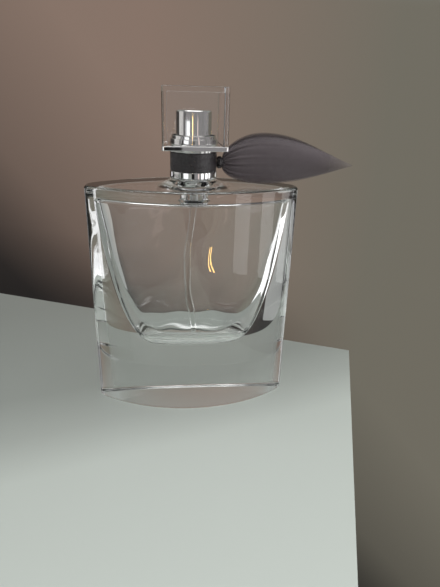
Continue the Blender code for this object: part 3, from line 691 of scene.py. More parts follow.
class BOTTLE_OT_head(bpy.types.Operator):
    """Draw the plated shell of the spray head, pierced at the back for the nozzle"""

    bl_idname = "perfume.head"
    bl_label = "Spray Head"

    def execute(self, context):
        c = settings().collar
        low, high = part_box("actuator_shell")
        radius, bottom, top = high[0], low[2], high[2]
        reach = c.nozzle_radius * 1.5
        middle = top - c.nozzle_drop
        hole = {"height": middle, "reach": reach, "radius": c.nozzle_radius + 0.0001}
        hole["steps"] = (0.3, 0.6, 0.85, 0.97, 1.0)
        half = reach / radius
        window = np.linspace(-half, half, 13)
        round_back = np.linspace(half, TAU - half, 156)[1:-1]
        angles = np.concatenate([window, round_back]) + math.pi / 2
        edge = top - c.head_edge
        heights = np.concatenate([
            spread(bottom, middle - reach, 8, 0.0001)[:-1],
            np.linspace(middle - reach, middle + reach, 13),
            spread(middle + reach, edge, 4, 0.0001)[1:],
        ])
        flat, quads = with_hole(angles, heights, radius, hole)
        theta = flat[:, 0] / radius + math.pi / 2
        wall = np.stack([radius * np.cos(theta), radius * np.sin(theta), flat[:, 1] + middle], axis=-1)
        rings = self.top_rings(angles, radius, edge, c)
        points = np.concatenate([wall, rings.reshape(-1, 3), [(0, 0, top - c.dimple)]])
        last = (len(heights) - 1) * len(angles) + np.arange(len(angles))
        more = len(wall) + np.arange(rings.shape[0] * len(angles)).reshape(rings.shape[0], -1)
        rows = np.concatenate([last[None], more])
        quads = np.concatenate([quads, strips(rows)])
        shell = new_piece("head_shell", points, quads, [(rows[-1], len(points) - 1)])
        thick = shell.modifiers.new("thickness", "SOLIDIFY")
        thick.thickness = c.head_wall
        thick.offset = -1
        fitted(shell, chrome_material(), "spray_head", "chrome", "actuator_shell")
        self.nozzle(middle)
        return {"FINISHED"}

    def top_rings(self, angles, radius, edge, c):
        """A quarter circle over the edge, and then a shallow dish that falls as a cosine."""
        turn = np.radians(np.linspace(0, 90, 10))[1:]
        radii = [radius - c.head_edge * (1 - math.cos(t)) for t in turn]
        heights = [edge + c.head_edge * math.sin(t) for t in turn]
        flat = radii[-1]
        for amount in np.concatenate([[0.985], np.linspace(0.93, 0.06, 16)]):
            radii.append(flat * amount)
            dish = 0.5 + 0.5 * math.cos(math.pi * min(1, amount / 0.93))
            heights.append(edge + c.head_edge - c.dimple * dish)
        return np.stack([circle(angles, r, z) for r, z in zip(radii, heights)])

    def nozzle(self, middle):
        """The spray insert: a disc with a dish round its orifice, turned about Z and laid over to +Y."""
        c = settings().collar
        low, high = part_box("nozzle_insert")
        deep, orifice, dish = high[1] - low[1], 0.0002, 0.00075
        insert = lathe(
            "spray_insert",
            [
                (orifice, 0.0, 0.0),
                (c.nozzle_radius, 0.0, 0.00005),
                (c.nozzle_radius, deep, 0.00012),
                (dish, deep, 0.00012),
                (orifice, deep * 0.6, 0.0),
            ],
            64,
        )
        place = Matrix.Translation((0, low[1], middle))
        insert.data.transform(place @ Matrix.Rotation(-math.pi / 2, 4, "X"))
        fitted(insert, natural_material(), "spray_head", "natural_plastic", "nozzle_insert")


# ---- Ribbon --------------------------------------------------------------------------------------
class BOTTLE_OT_band(bpy.types.Operator):
    """Wrap the folded satin band round the collar's groove"""

    bl_idname = "perfume.band"
    bl_label = "Ribbon Band"

    def execute(self, context):
        r = settings().ribbon
        low, high = (corner[2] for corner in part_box("ribbon_band"))
        angles = np.linspace(0, TAU, 420, endpoint=False)
        across = np.concatenate([[0.0, 0.012, 0.03], np.linspace(0.06, 0.94, 44), [0.97, 0.988, 1.0]])
        plain = np.full((len(across), len(angles)), r.band_radius)
        outer = plain + r.band_thickness * np.sin(math.pi * across[:, None]) ** 0.12
        outer[0], outer[-1] = r.band_radius + 0.0001, r.band_radius + 0.0001
        outer = outer + self.creases(across[:, None], angles[None])
        skin = np.concatenate([outer, plain[::-1]])
        level = np.concatenate([across, across[::-1]])
        rings = self.placed(skin, angles, low + (high - low) * level)
        uv = np.stack(np.broadcast_arrays(angles * r.band_radius, (high - low) * level[:, None]), axis=-1)
        band = new_piece(
            "ribbon_satin_band", rings.reshape(-1, 3),
            grid_faces(*rings.shape[:2], True, True), uv=uv.reshape(-1, 2),
        )
        fitted(band, satin_material(), "bottle", "charcoal_satin", "ribbon_band")
        return {"FINISHED"}

    def placed(self, radius, angles, heights):
        """Rings of points from their radii, with one height to each ring."""
        x, y = radius * np.cos(angles), radius * np.sin(angles)
        return np.stack([x, y, np.broadcast_to(heights[:, None], x.shape)], axis=-1)

    def creases(self, across, angles):
        """Soft folds that run round the band and slant towards the knot, as a sum of three waves."""
        r = settings().ribbon
        pull = 0.5 + 0.5 * np.cos(angles)
        slant = across + 0.10 * np.sin(angles) * pull
        folds = np.cos(TAU * 2.0 * slant + 0.6 * np.sin(2 * angles))
        fine = 0.4 * np.cos(TAU * 5.3 * slant + 1.3 * np.sin(3 * angles + 1))
        upright = 0.25 * np.cos(17 * angles + 2.5 * np.sin(3 * angles) + 2 * across)
        fade = np.sin(math.pi * across) ** 0.7
        return -r.crease * (1 + (folds * (0.5 + pull) + fine + upright) / 1.9) * fade


class BOTTLE_OT_knot(bpy.types.Operator):
    """Tie the knot where the wings leave the band"""

    bl_idname = "perfume.knot"
    bl_label = "Ribbon Knot"

    def execute(self, context):
        r = settings().ribbon
        low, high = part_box("ribbon_knot")
        middle = (low[2] + high[2]) / 2
        amount = np.linspace(0, 1, 70)[:, None]
        turn = np.linspace(0, TAU, 120, endpoint=False)[None]
        size = np.interp(amount, (0, 0.08, 0.25, 0.5, 0.8, 1), (0.80, 1.0, 1.08, 1.0, 0.80, 0.55))
        from_wrap = amount - 0.42
        wrap = 0.09 * np.exp(-((from_wrap / 0.20) ** 6))
        gathers = 0.055 * np.cos(11 * turn + 1.4 * np.sin(2 * turn)) * np.abs(from_wrap) * 2
        twist = 0.03 * np.cos(TAU * 3 * amount + 2 * turn)
        size = size * (0.91 + wrap + gathers + twist)
        start, end = low[0] - 0.0002, high[0] + 0.0012  # into the band, and round the wings' roots
        x = np.broadcast_to(start + (end - start) * amount, size.shape)
        y = size * r.knot_depth * np.cos(turn)
        z = middle + size * r.knot_height * np.sin(turn)
        rings = np.stack([x, y, z], axis=-1)
        poles = np.array([(start, 0, middle), (end, 0, middle)])
        points = np.concatenate([rings.reshape(-1, 3), poles])
        uv = np.stack(np.broadcast_arrays(r.knot_height * turn, x), axis=-1).reshape(-1, 2)
        uv = np.concatenate([uv, [(0, low[0]), (0, high[0])]])
        rows, columns = size.shape
        ring = np.arange(columns)
        fans = [(ring[::-1], len(points) - 2), (ring + (rows - 1) * columns, len(points) - 1)]
        knot = new_piece("ribbon_satin_knot", points, grid_faces(rows, columns, False, True), fans, uv)
        fitted(knot, satin_material(), "bottle", "charcoal_satin", "ribbon_knot")
        return {"FINISHED"}


def leaf(amount):
    """Half width of a wing as a share of its widest. It swells as a sine of amount^0.62 to the power 0.9
    and closes to the tip as 1 - amount^6."""
    r = settings().ribbon
    root = r.wing_root / r.wing_width
    swell = np.sin(math.pi * amount**0.62) ** 0.9
    return (root + (1 - root) * swell) * (1 - amount**6)


class BOTTLE_OT_wings(bpy.types.Operator):
    """Gather the two sheer wings into the knot"""

    bl_idname = "perfume.wings"
    bl_label = "Ribbon Wings"

    def execute(self, context):
        material = organza_material()
        for name, forward, lift in (("front", -1, 0.0), ("rear", 1, 0.0008)):
            self.wing(name, forward, lift, material)
        return {"FINISHED"}

    def wing(self, name, forward, lift, material):
        """x runs along the wing and z across it. y leans out as amount^0.8 and bellies as a sine, with
        gathers that fade away from the knot and two slow waves towards the tip."""
        r = settings().ribbon
        low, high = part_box("ribbon_knot")
        amount = np.linspace(0, 0.985, 190)[:, None]
        side = np.linspace(-1, 1, 84)[None]
        half = r.wing_width / 2 * leaf(amount)
        spot = side + 0.05 * np.sin(9 * side) * amount
        lean = forward * (0.0006 + r.wing_lean * amount**0.8)
        belly = forward * 0.0022 * np.sin(math.pi * amount) * (1 - side**2)
        gathers = np.cos(math.pi * r.pleats * spot + forward) + 0.5 * np.cos(math.pi * 11.7 * spot + 2)
        gathers = gathers * r.pleat_depth * np.exp(-7.5 * amount) * np.minimum(1, 16 * amount + 0.2)
        waves = 0.0004 * np.sin(TAU * 1.3 * amount + 1.6 * side + forward) * amount
        curl = -forward * 0.0006 * np.abs(side) ** 5 * np.sin(math.pi * amount)
        y = lean + belly + gathers * 0.8 + waves + curl
        rise = (r.wing_rise + lift) * np.sin(math.pi / 2 * np.minimum(1, 3 * amount))
        rise = rise + r.wing_arch * np.sin(math.pi * amount)
        z = (low[2] + high[2]) / 2 + rise + half * side
        x = r.wing_start + r.wing_length * amount + 0 * side
        points = np.stack([x, y, z], axis=-1)
        cut = np.stack(np.broadcast_arrays(r.wing_length * amount, r.wing_width / 2 * side), axis=-1)
        piece = new_piece(
            "ribbon_wing_" + name + "_cloth", points.reshape(-1, 3),
            grid_faces(*points.shape[:2], False, False), uv=cut.reshape(-1, 2), flip=forward > 0,
        )
        piece.data.attributes.new("edge", "FLOAT", "POINT")
        nearness = np.maximum(np.abs(side) ** 10, np.clip((amount - 0.60) / 0.385, 0, 1) ** 1.6)
        piece.data.attributes["edge"].data.foreach_set("value", nearness.astype(np.float32).reshape(-1))
        thick = piece.modifiers.new("cloth", "SOLIDIFY")
        thick.thickness = r.cloth
        thick.offset = 0
        fitted(piece, material, "bottle", "charcoal_organza", "ribbon_wing_" + name)


# ---- Cap -----------------------------------------------------------------------------------------
def square_ring(half, corner, height, arc=10, along=16):
    """A square with round corners: each side's points, closer to its ends, and then an arc."""
    straight = half - corner
    share = np.concatenate([[-1, -0.985], np.linspace(-0.94, 0.94, along), [0.985]])
    side = np.stack([np.full_like(share, half), straight * share], axis=-1)
    turn = np.linspace(0, math.pi / 2, arc)[:-1]
    round_part = np.stack([straight + corner * np.cos(turn), straight + corner * np.sin(turn)], axis=-1)
    quarter = np.concatenate([side, round_part])
    turned = [quarter @ np.array([[c, s], [-s, c]]) for c, s in ((1, 0), (0, 1), (-1, 0), (0, -1))]
    flat = np.concatenate(turned)
    return np.concatenate([flat, np.full((len(flat), 1), height)], axis=1)


def square_profile(half, corner, profile):
    """Rings of a square wall. Each spot of the profile is (how far inside the outer face, height)."""
    rings = []
    for inset, height in profile:
        radius = max(SHARP, corner - inset)
        rings.append(square_ring(half - inset, radius, height))
    return rings


class BOTTLE_OT_cap(bpy.types.Operator):
    """Mould the clear square cap, open below"""

    bl_idname = "perfume.cap"
    bl_label = "Cap"

    def execute(self, context):
        c = settings().cap
        low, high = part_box("cap_shell")
        half, bottom, top = high[0], low[2], high[2]
        under, border = top - c.top, 0.003
        walls = filleted(
            [
                (c.wall + border, under, 0.0),
                (c.wall, under, 0.00006),
                (c.wall, bottom, 0.0001),
                (0.0, bottom, 0.0001),
                (0.0, top, c.edge),
                (border, top, 0.0),
            ]
        )
        rings = square_profile(half, c.corner, walls)
        for share in (0.75, 0.5, 0.25):
            rings.insert(0, square_ring((half - c.wall - border) * share, SHARP, under))
            rings.append(square_ring((half - border) * share, SHARP, top))
        cap = loft("cap_acrylic", np.stack(rings), poles=np.array([(0, 0, under), (0, 0, top)]))
        fitted(cap, acrylic_material(), "cap", "clear_acrylic", "cap_shell")
        cap.visible_shadow = False
        self.plate()
        return {"FINISHED"}

    def plate(self):
        """The plate is a square outside and round inside, where a thin ring grips the sleeve."""
        c = settings().cap
        low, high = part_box("cap_base")
        half, bottom, top = high[0], low[2], low[2] + c.plate
        rim = square_ring(half, c.corner, bottom)
        turn = np.arctan2(rim[:, 1], rim[:, 0])
        outside = filleted([(0.002, bottom, 0), (0, bottom, 0.0002), (0, top, 0.0002), (0.002, top, 0)])
        rings = square_profile(half, c.corner, outside)
        grip = c.grip_radius + c.grip_wall
        inside = filleted(
            [
                (grip + 0.0006, top, 0),
                (grip, top, 0.0003),
                (grip, high[2], 0.0001),
                (c.grip_radius, high[2], 0.0001),
                (c.grip_radius, bottom, 0.0002),
                (c.grip_radius + 0.0008, bottom, 0),
            ]
        )
        rings += [circle(turn, radius, height) for radius, height in inside]
        plate = loft("cap_plate", np.stack(rings), close_rows=True)
        fitted(plate, chrome_material(), "cap", "chrome", "cap_base")


# ---- Shared shader groups ------------------------------------------------------------------------
def new_group(name, inputs, outputs):
    """A shader group with named sockets. inputs are (name, default), outputs are names."""
    group = bpy.data.node_groups.new(name, "ShaderNodeTree")
    for label, default in inputs:
        socket = group.interface.new_socket(label, in_out="INPUT", socket_type="NodeSocketFloat")
        socket.default_value = default
    for label in outputs:
        group.interface.new_socket(label, in_out="OUTPUT", socket_type="NodeSocketFloat")
    return group, group.nodes.new("NodeGroupInput"), group.nodes.new("NodeGroupOutput")


def put(tree, kind, links=(), **values):
    """Adds a node. links are (socket, source), and values set its own properties."""
    node = tree.nodes.new(kind)
    for name, value in values.items():
        setattr(node, name, value)
    for socket, source in links:
        if isinstance(source, bpy.types.NodeSocket):
            tree.links.new(source, node.inputs[socket])
        else:
            node.inputs[socket].default_value = source
    return node


def maths(tree, operation, first, second=None):
    """A maths node on a socket and a socket or number, as its output."""
    links = [(0, first)] if second is None else [(0, first), (1, second)]
    return put(tree, "ShaderNodeMath", links, operation=operation).outputs[0]


def blended(tree, kind, factor, first, second):
    """Two colours mixed by a factor, as an output."""
    links = [("Factor", factor), ("A", first), ("B", second)]
    return put(tree, "ShaderNodeMix", links, data_type="RGBA", blend_type=kind).outputs[2]


def noise(tree, place, scale, detail):
    """Noise at a place, as an output."""
    links = [("Vector", place), ("Scale", scale), ("Detail", detail)]
    return put(tree, "ShaderNodeTexNoise", links).outputs[0]


def ranged(tree, value, low, high):
    """A value's share of the way from low to high, as an output."""
    links = [("Value", value), ("From Min", low), ("From Max", high)]
    return put(tree, "ShaderNodeMapRange", links).outputs[0]


def wear_group():
    """Handling marks: soft smudges, and fine hairline scratches."""
    found = bpy.data.node_groups.get("handling_wear")
    if found:
        return found
    inputs = [("Clean", 0.1), ("Smudged", 0.2), ("Scale", 120.0)]
    group, given, wanted = new_group("handling_wear", inputs, ["Roughness", "Height", "Shade"])
    place = put(group, "ShaderNodeTexCoord").outputs["Object"]
    smudge = put(
        group, "ShaderNodeTexNoise",
        [("Vector", place), ("Scale", given.outputs["Scale"]), ("Detail", 5.0), ("Roughness", 0.55)],
    ).outputs[0]
    marks = ranged(group, smudge, 0.48, 0.72)
    long_way = put(group, "ShaderNodeMapping", [("Vector", place), ("Scale", (1.0, 1.0, 0.06))])
    hair = noise(group, long_way.outputs[0], 9000.0, 2.0)
    spread_out = maths(group, "SUBTRACT", given.outputs["Smudged"], given.outputs["Clean"])
    rough = maths(group, "MULTIPLY_ADD", marks, spread_out)
    group.links.new(given.outputs["Clean"], rough.node.inputs[2])
    group.links.new(rough, wanted.inputs["Roughness"])
    group.links.new(hair, wanted.inputs["Height"])
    group.links.new(marks, wanted.inputs["Shade"])
    return group


def weave_group():
    """A plain weave in the cloth's own plane, with its threads a little uneven."""
    found = bpy.data.node_groups.get("plain_weave")
    if found:
        return found
    inputs = [("Threads", 3000.0), ("Slub", 0.3)]
    group, given, wanted = new_group("plain_weave", inputs, ["Height", "Cover", "Shade"])
    cloth = put(group, "ShaderNodeUVMap", uv_map="weave").outputs[0]
    uneven = noise(group, cloth, 500.0, 3.0)
    parts = put(group, "ShaderNodeSeparateXYZ", [(0, cloth)])
    wobble = maths(group, "MULTIPLY", uneven, given.outputs["Slub"])
    crossing = []
    for axis in (0, 1):
        counted = maths(group, "MULTIPLY", parts.outputs[axis], given.outputs["Threads"])
        phase = maths(group, "MULTIPLY", maths(group, "ADD", counted, wobble), math.pi)
        crossing.append(maths(group, "ABSOLUTE", maths(group, "SINE", phase)))
    either = maths(group, "MAXIMUM", crossing[0], crossing[1])
    both = maths(group, "MULTIPLY", crossing[0], crossing[1])
    cover = ranged(group, either, 0.35, 0.8)
    height = maths(group, "ADD", either, maths(group, "MULTIPLY", both, 0.5))
    group.links.new(height, wanted.inputs["Height"])
    group.links.new(cover, wanted.inputs["Cover"])
    group.links.new(uneven, wanted.inputs["Shade"])
    return group


# ---- Materials -----------------------------------------------------------------------------------
def new_material(name, tint, **constants):
    """A material on one Principled shader. Constants name its sockets, with _ for a space."""
    made = bpy.data.materials.new(name)
    made.use_nodes = True
    shader = made.node_tree.nodes["Principled BSDF"]
    shader.inputs["Base Color"].default_value = (*tint, 1)
    for label, value in constants.items():
        shader.inputs[label.replace("_", " ")].default_value = value
    return made, made.node_tree, shader


def worn(tree, shader, clean, smudged, scale, depth, shade=None, tint=None):
    """Drives a shader's roughness and bump from the handling marks, and its colour if shade is given."""
    marks = put(tree, "ShaderNodeGroup", node_tree=wear_group())
    marks.inputs["Clean"].default_value = clean
    marks.inputs["Smudged"].default_value = smudged
    marks.inputs["Scale"].default_value = scale
    tree.links.new(marks.outputs["Roughness"], shader.inputs["Roughness"])
    if depth:
        bump = put(tree, "ShaderNodeBump", [("Height", marks.outputs["Height"]), ("Distance", depth)])
        tree.links.new(bump.outputs[0], shader.inputs["Normal"])
    if shade:
        darker = [channel * shade for channel in tint]
        mixed = blended(tree, "MIX", marks.outputs["Shade"], (*tint, 1), (*darker, 1))
        tree.links.new(mixed, shader.inputs["Base Color"])


def kept(name, maker):
    """The material of that name, made the first time that it is asked for."""
    return bpy.data.materials.get(name) or maker(name)


def clear(name, tint, **constants):
    """A clear material, with no marks on it."""
    return kept(name, lambda name: new_material(name, tint, Transmission_Weight=1.0, **constants)[0])


def handled(name, tint, wear, **constants):
    """A material with handling marks. wear is what worn takes, up to its shade."""
    def make(name):
        made, tree, shader = new_material(name, tint, **constants)
        worn(tree, shader, *wear, tint)
        return made

    return kept(name, make)


def glass_material():
    return clear("blown_glass", tuple(settings().colours.glass), IOR=1.5, Roughness=0.0)


def acrylic_material():
    return clear("polished_acrylic", tuple(settings().colours.acrylic), IOR=1.49, Roughness=0.0)


def tube_material():
    return clear("clear_fluoropolymer", (0.985, 0.99, 0.985), IOR=1.08, Roughness=0.02)


def chrome_material():
    tint = tuple(settings().colours.chrome)
    return handled("chrome_plate", tint, (0.035, 0.11, 260.0, 0.0, 0.93), Metallic=1.0)


def natural_material():
    tint = tuple(settings().colours.natural)
    wear = (0.22, 0.34, 700.0, 0.00001, 0.94)
    return handled("milky_polypropylene", tint, wear, IOR=1.49, Transmission_Weight=0.85)


def white_material():
    tint = tuple(settings().colours.white)
    wear = (0.30, 0.45, 700.0, 0.00001, 0.93)
    return handled("white_acetal", tint, wear, Subsurface_Weight=0.15, Subsurface_Scale=0.001)


def steel_material():
    tint = tuple(settings().colours.steel)
    return handled("drawn_steel", tint, (0.18, 0.32, 900.0, 0.00001, 0.85), Metallic=1.0)


def aluminium_material():
    tint = tuple(settings().colours.aluminium)
    wear = (0.26, 0.38, 500.0, 0.00002, 0.9)
    return handled("satin_aluminium", tint, wear, Metallic=1.0, Anisotropic=0.4)


def rubber_material():
    tint = tuple(settings().colours.rubber)
    return handled("moulded_rubber", tint, (0.55, 0.75, 900.0, 0.00003, 1.3))


def cloth(tree, shader, threads, slub, depth, tint, paler):
    """Drives a cloth's bump and colour from the weave, and returns the weave."""
    weave = put(tree, "ShaderNodeGroup", node_tree=weave_group())
    weave.inputs["Threads"].default_value = threads
    weave.inputs["Slub"].default_value = slub
    bump = put(tree, "ShaderNodeBump", [("Height", weave.outputs["Height"]), ("Distance", depth)])
    tree.links.new(bump.outputs[0], shader.inputs["Normal"])
    lighter = [min(1, channel * paler) for channel in tint]
    mixed = blended(tree, "MIX", weave.outputs["Shade"], (*tint, 1), (*lighter, 1))
    tree.links.new(mixed, shader.inputs["Base Color"])
    return weave


def satin_material():
    def make(name):
        tint = tuple(settings().colours.satin)
        made, tree, shader = new_material(name, tint, Sheen_Weight=0.25, Sheen_Roughness=0.25)
        shader.inputs["Anisotropic"].default_value = 0.7
        shader.inputs["Specular IOR Level"].default_value = 0.7
        shader.inputs["Roughness"].default_value = 0.22
        cloth(tree, shader, settings().ribbon.threads * 1.6, 0.25, 0.00002, tint, 1.5)
        return made

    return kept("satin_ribbon", make)


def organza_material():
    def make(name):
        tint = tuple(settings().colours.organza)
        made, tree, shader = new_material(name, tint, Sheen_Weight=0.08, Sheen_Roughness=0.4)
        shader.inputs["Roughness"].default_value = 0.55
        weave = cloth(tree, shader, settings().ribbon.threads, 0.35, 0.00003, tint, 1.35)
        fray = put(tree, "ShaderNodeAttribute", attribute_name="edge").outputs["Fac"]
        solid = maths(tree, "MULTIPLY_ADD", weave.outputs["Cover"], 0.30)
        solid.node.inputs[2].default_value = 0.68
        left = maths(tree, "SUBTRACT", 1.0, maths(tree, "MULTIPLY", fray, 0.85))
        tree.links.new(maths(tree, "MULTIPLY", solid, left), shader.inputs["Alpha"])
        return made

    return kept("organza_ribbon", make)


# ---- Stage ---------------------------------------------------------------------------------------
def aimed_light(name, location, target, size, glow, tint=(1, 1, 1)):
    """A soft rectangular lamp. glow is its radiance, so its power is pi times its area times glow."""
    lamp = bpy.data.lights.new(name, "AREA")
    lamp.shape = "RECTANGLE"
    lamp.size, lamp.size_y = size
    lamp.energy = math.pi * size[0] * size[1] * glow
    lamp.color = tint
    holder = bpy.data.objects.new(name, lamp)
    bpy.context.scene.collection.objects.link(holder)
    holder.location = location
    direction = Vector(target) - Vector(location)
    holder.rotation_euler = direction.to_track_quat("-Z", "Y").to_euler()
    return holder


def card(name, azimuth, distance, width, low, high, glow, tint=(1, 1, 1)):
    """An upright lamp that faces the bottle. Azimuth is in degrees, 0 at +Y and 90 at +X."""
    turn = math.radians(azimuth)
    x, y = distance * math.sin(turn), distance * math.cos(turn)
    middle = (low + high) / 2
    return aimed_light(name, (x, y, middle), (0, 0, middle), (width, high - low), glow, tint)


def along(tree, weights, start=0.0):
    """A number that grows from start along a direction of the object's own coordinates."""
    place = put(tree, "ShaderNodeTexCoord").outputs["Object"]
    dot = put(tree, "ShaderNodeVectorMath", [(0, place), (1, weights)], operation="DOT_PRODUCT")
    return maths(tree, "ADD", dot.outputs["Value"], start)


def graded(tree, position, spots):
    """A grey ramp through (position, brightness) spots."""
    low, high = spots[0][0], spots[-1][0]
    ramp = put(tree, "ShaderNodeValToRGB", [(0, ranged(tree, position, low, high))])
    points = ramp.color_ramp.elements
    for spot, brightness in spots[1:-1]:
        points.new((spot - low) / (high - low)).color = (brightness, brightness, brightness, 1)
    for point, (spot, brightness) in ((points[0], spots[0]), (points[-1], spots[-1])):
        point.color = (brightness, brightness, brightness, 1)
    return ramp.outputs[0]


def table_material():
    """A pale painted board. Its colour carries painted shade: darker at the back, as the light from the near
    side leaves it.
    """
    tint = (0.71, 0.77, 0.715)
    made, tree, shader = new_material("pale_table", tint)
    worn(tree, shader, 0.34, 0.42, 14.0, 0.0)
    # painted shade: the base colour darkens towards the back of the table
    nearer = along(tree, (0.3, -1.0, 0.0))
    spots = [(-0.12, 0.40), (-0.02, 0.46), (0.01, 0.62), (0.035, 0.86), (0.12, 1.0)]
    painted_shade_colour = blended(tree, "MULTIPLY", 1.0, (*tint, 1), graded(tree, nearer, spots))
    tree.links.new(painted_shade_colour, shader.inputs["Base Color"])
    return made


def wall_material():
    """A distant taupe wall out of focus. It glows evenly, warmer on the left, with painted soft shadows low
    down:
    painted shade in the lower left corner and a painted shadow band above the table's edge. A paler, cooler
    stretch lies high up."""
    made, tree, shader = new_material("taupe_wall", (0.01, 0.01, 0.01), Roughness=0.9, Emission_Strength=1.0)
    across = ranged(tree, along(tree, (1, 0, 0)), -0.02, 0.26)
    warm, olive, pale = (0.222, 0.156, 0.122, 1), (0.147, 0.136, 0.106, 1), (0.31, 0.33, 0.31, 1)
    colours = blended(tree, "MIX", across, warm, olive)
    # painted shade: the glow darkens towards the lower left corner
    corner_shade_spots = [(-0.1, 0.07), (-0.02, 0.3), (0.06, 0.6), (0.3, 1.0)]
    corner = graded(tree, along(tree, (1.2, 0, 1), 0.24), corner_shade_spots)
    # painted shadow: a soft dark band on the wall just above the table's far edge
    edge_shadow_spots = [(-0.05, 0.35), (0.0, 0.45), (0.05, 0.8), (0.09, 1.0)]
    edge = graded(tree, along(tree, (0.16, 0, 1), 0.155), edge_shadow_spots)
    above = graded(tree, along(tree, (0, 0, 1)), [(0.22, 0.0), (0.30, 0.5), (0.42, 1.0)])
    colours = blended(tree, "MULTIPLY", 1.0, colours, corner)
    colours = blended(tree, "MULTIPLY", 1.0, colours, blended(tree, "MIX", across, edge, (1, 1, 1, 1)))
    colours = blended(tree, "MIX", above, colours, pale)
    tree.links.new(colours, shader.inputs["Emission Color"])
    return made


def flat_piece(name, corners, material):
    """A four-cornered board of the stage."""
    quads = np.array([[0, 1, 2, 3]])
    piece = new_piece(name, np.array(corners, dtype=float), quads)
    piece.data.materials.append(material)
    return piece


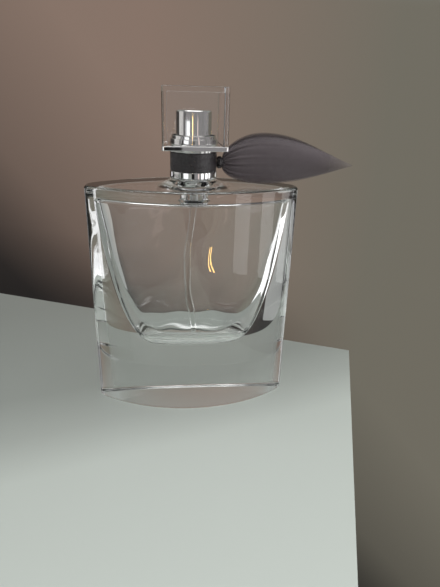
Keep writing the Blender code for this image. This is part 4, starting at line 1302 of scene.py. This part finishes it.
class BOTTLE_OT_stage(bpy.types.Operator):
    """Set up the camera, the pale table, the wall behind it and the soft lights"""

    bl_idname = "perfume.stage"
    bl_label = "Stage"

    def execute(self, context):
        scene = context.scene
        lens = bpy.data.cameras.new("camera")
        camera = bpy.data.objects.new("camera", lens)
        scene.collection.objects.link(camera)
        scene.camera = camera
        lens.lens = 30.66
        lens.clip_start = 0.01
        turn = Matrix.Rotation(math.radians(-7.135), 4, "Z")
        tilt = Matrix.Rotation(math.radians(90 - 21.872), 4, "X")
        roll = Matrix.Rotation(math.radians(1.691), 4, "Z")
        place = Matrix.Translation((-0.01264, -0.19387, 0.12467))
        camera.matrix_world = place @ turn @ tilt @ roll
        far_right, left = Vector((0.0853, 0.0313, 0)), Vector((-0.0561, 0.0946, 0))
        near = Vector((0.0394, -0.102, 0))
        back = (left - far_right).normalized() * 1.2
        forward = (near - far_right).normalized() * 0.9
        drop = Vector((0, 0, -0.0002))
        corners = [far_right, far_right + back, far_right + back + forward, far_right + forward]
        corners = [tuple(corner + drop) for corner in corners]
        flat_piece("table", corners, table_material())
        wall = [(-1.5, 0.5, -1), (1.5, 0.35, -1), (1.5, 0.35, 1.2), (-1.5, 0.5, 1.2)]
        flat_piece("wall", wall, wall_material())
        world = bpy.data.worlds.new("room")
        scene.world = world
        world.use_nodes = True
        background = world.node_tree.nodes["Background"]
        background.inputs["Color"].default_value = (0.50, 0.49, 0.50, 1)
        background.inputs["Strength"].default_value = 0.55
        aimed_light("overhead", (0, -0.05, 0.8), (0, 0, 0.06), (0.8, 0.5), 2.7)
        panes = (("side", 100, 0.08, 1.9), ("middle", 117, 0.11, 1.9), ("front", 139, 0.12, 1.6))
        for name, azimuth, width, glow in panes:
            pane = card("pane_" + name, azimuth, 0.55, width, -0.15, 0.45, glow)
            pane.visible_transmission = False
        cool, green, warm = (0.95, 0.96, 1.0), (0.95, 0.98, 0.95), (1.0, 0.98, 0.95)
        card("window_left", -141, 0.60, 0.24, -0.20, 0.085, 1.4, (0.93, 0.95, 1.0))
        hidden = [card("far_right", 46, 0.50, 0.11, -0.12, 0.05, 0.8, cool)]
        card("left_side", -88, 0.50, 0.30, 0.02, 0.36, 0.45, warm)
        card("far_left", -50, 0.45, 0.09, -0.14, 0.05, 1.0, (0.95, 0.95, 1.0))
        hidden.append(card("behind_left", -28, 0.42, 0.15, -0.15, 0.02, 0.32, green))
        for aside in (0.0117, 0.0129):
            spot, target, size = (aside, 0.0405, 0.049), (0, -0.04, 0.072), (0.0005, 0.012)
            lamp = aimed_light("amber_glint", spot, target, size, 0.13, (1.0, 0.60, 0.18))
            lamp.data.spread = math.radians(50)
            hidden.append(lamp)
        for lamp in hidden:
            lamp.visible_camera = False
        card("amber_lamp", -170, 0.80, 0.03, 0.045, 0.085, 8.0, (1.0, 0.66, 0.22))
        card("rosy_card", 158, 0.80, 0.06, -0.10, 0.08, 1.0, (1.0, 0.78, 0.72))
        card("low_right", 68, 0.36, 0.24, -0.26, -0.04, 1.4, cool)
        black = new_material("black_flag", (0.015, 0.014, 0.013), Roughness=0.9)[0]
        self.flag("flag_camera", -175.5, 0.78, 0.18, -0.10, 0.04, black)
        self.flag("flag_left", -120, 0.50, 0.08, -0.10, 0.30, black)
        scene.view_settings.view_transform = "Standard"
        return {"FINISHED"}

    def flag(self, name, azimuth, distance, width, low, high, material):
        """An upright dark board that the bright metal reflects. Azimuth is as for a card."""
        turn = math.radians(azimuth)
        out = Vector((math.sin(turn), math.cos(turn), 0)) * distance
        aside = Vector((math.cos(turn), -math.sin(turn), 0)) * width / 2
        corners = [out - aside, out + aside, out + aside, out - aside]
        heights = (low, low, high, high)
        board = flat_piece(name, [(c.x, c.y, z) for c, z in zip(corners, heights)], material)
        board.visible_camera = False


class BOTTLE_PT_panel(bpy.types.Panel):
    """Every piece of the bottle, in the order that it is made"""

    bl_label = "Perfume Bottle"
    bl_idname = "BOTTLE_PT_panel"
    bl_space_type = "VIEW_3D"
    bl_region_type = "UI"
    bl_category = "Perfume Bottle"

    def draw(self, context):
        for operator in OPERATORS:
            self.layout.operator(operator.bl_idname)


OPERATORS = [
    BOTTLE_OT_stage,
    BOTTLE_OT_glass,
    BOTTLE_OT_dip_tube,
    BOTTLE_OT_pump,
    BOTTLE_OT_spring,
    BOTTLE_OT_inner_parts,
    BOTTLE_OT_collar,
    BOTTLE_OT_head,
    BOTTLE_OT_band,
    BOTTLE_OT_knot,
    BOTTLE_OT_wings,
    BOTTLE_OT_cap,
]
GROUPS = [GlassSizes, PumpSizes, CollarSizes, RibbonSizes, CapSizes, Colours, Settings]
CLASSES = GROUPS + OPERATORS + [BOTTLE_PT_panel]


def register():
    for each in CLASSES:
        bpy.utils.register_class(each)
    bpy.types.Scene.perfume_bottle = PointerProperty(type=Settings)


def unregister():
    del bpy.types.Scene.perfume_bottle
    for each in reversed(CLASSES):
        bpy.utils.unregister_class(each)


def main():
    register()
    bpy.ops.perfume.stage()
    bpy.ops.perfume.glass()
    bpy.ops.perfume.dip_tube()
    bpy.ops.perfume.pump()
    bpy.ops.perfume.spring()
    bpy.ops.perfume.inner_parts()
    bpy.ops.perfume.collar()
    bpy.ops.perfume.head()
    bpy.ops.perfume.band()
    bpy.ops.perfume.knot()
    bpy.ops.perfume.wings()
    bpy.ops.perfume.cap()


if __name__ == "__main__":
    main()
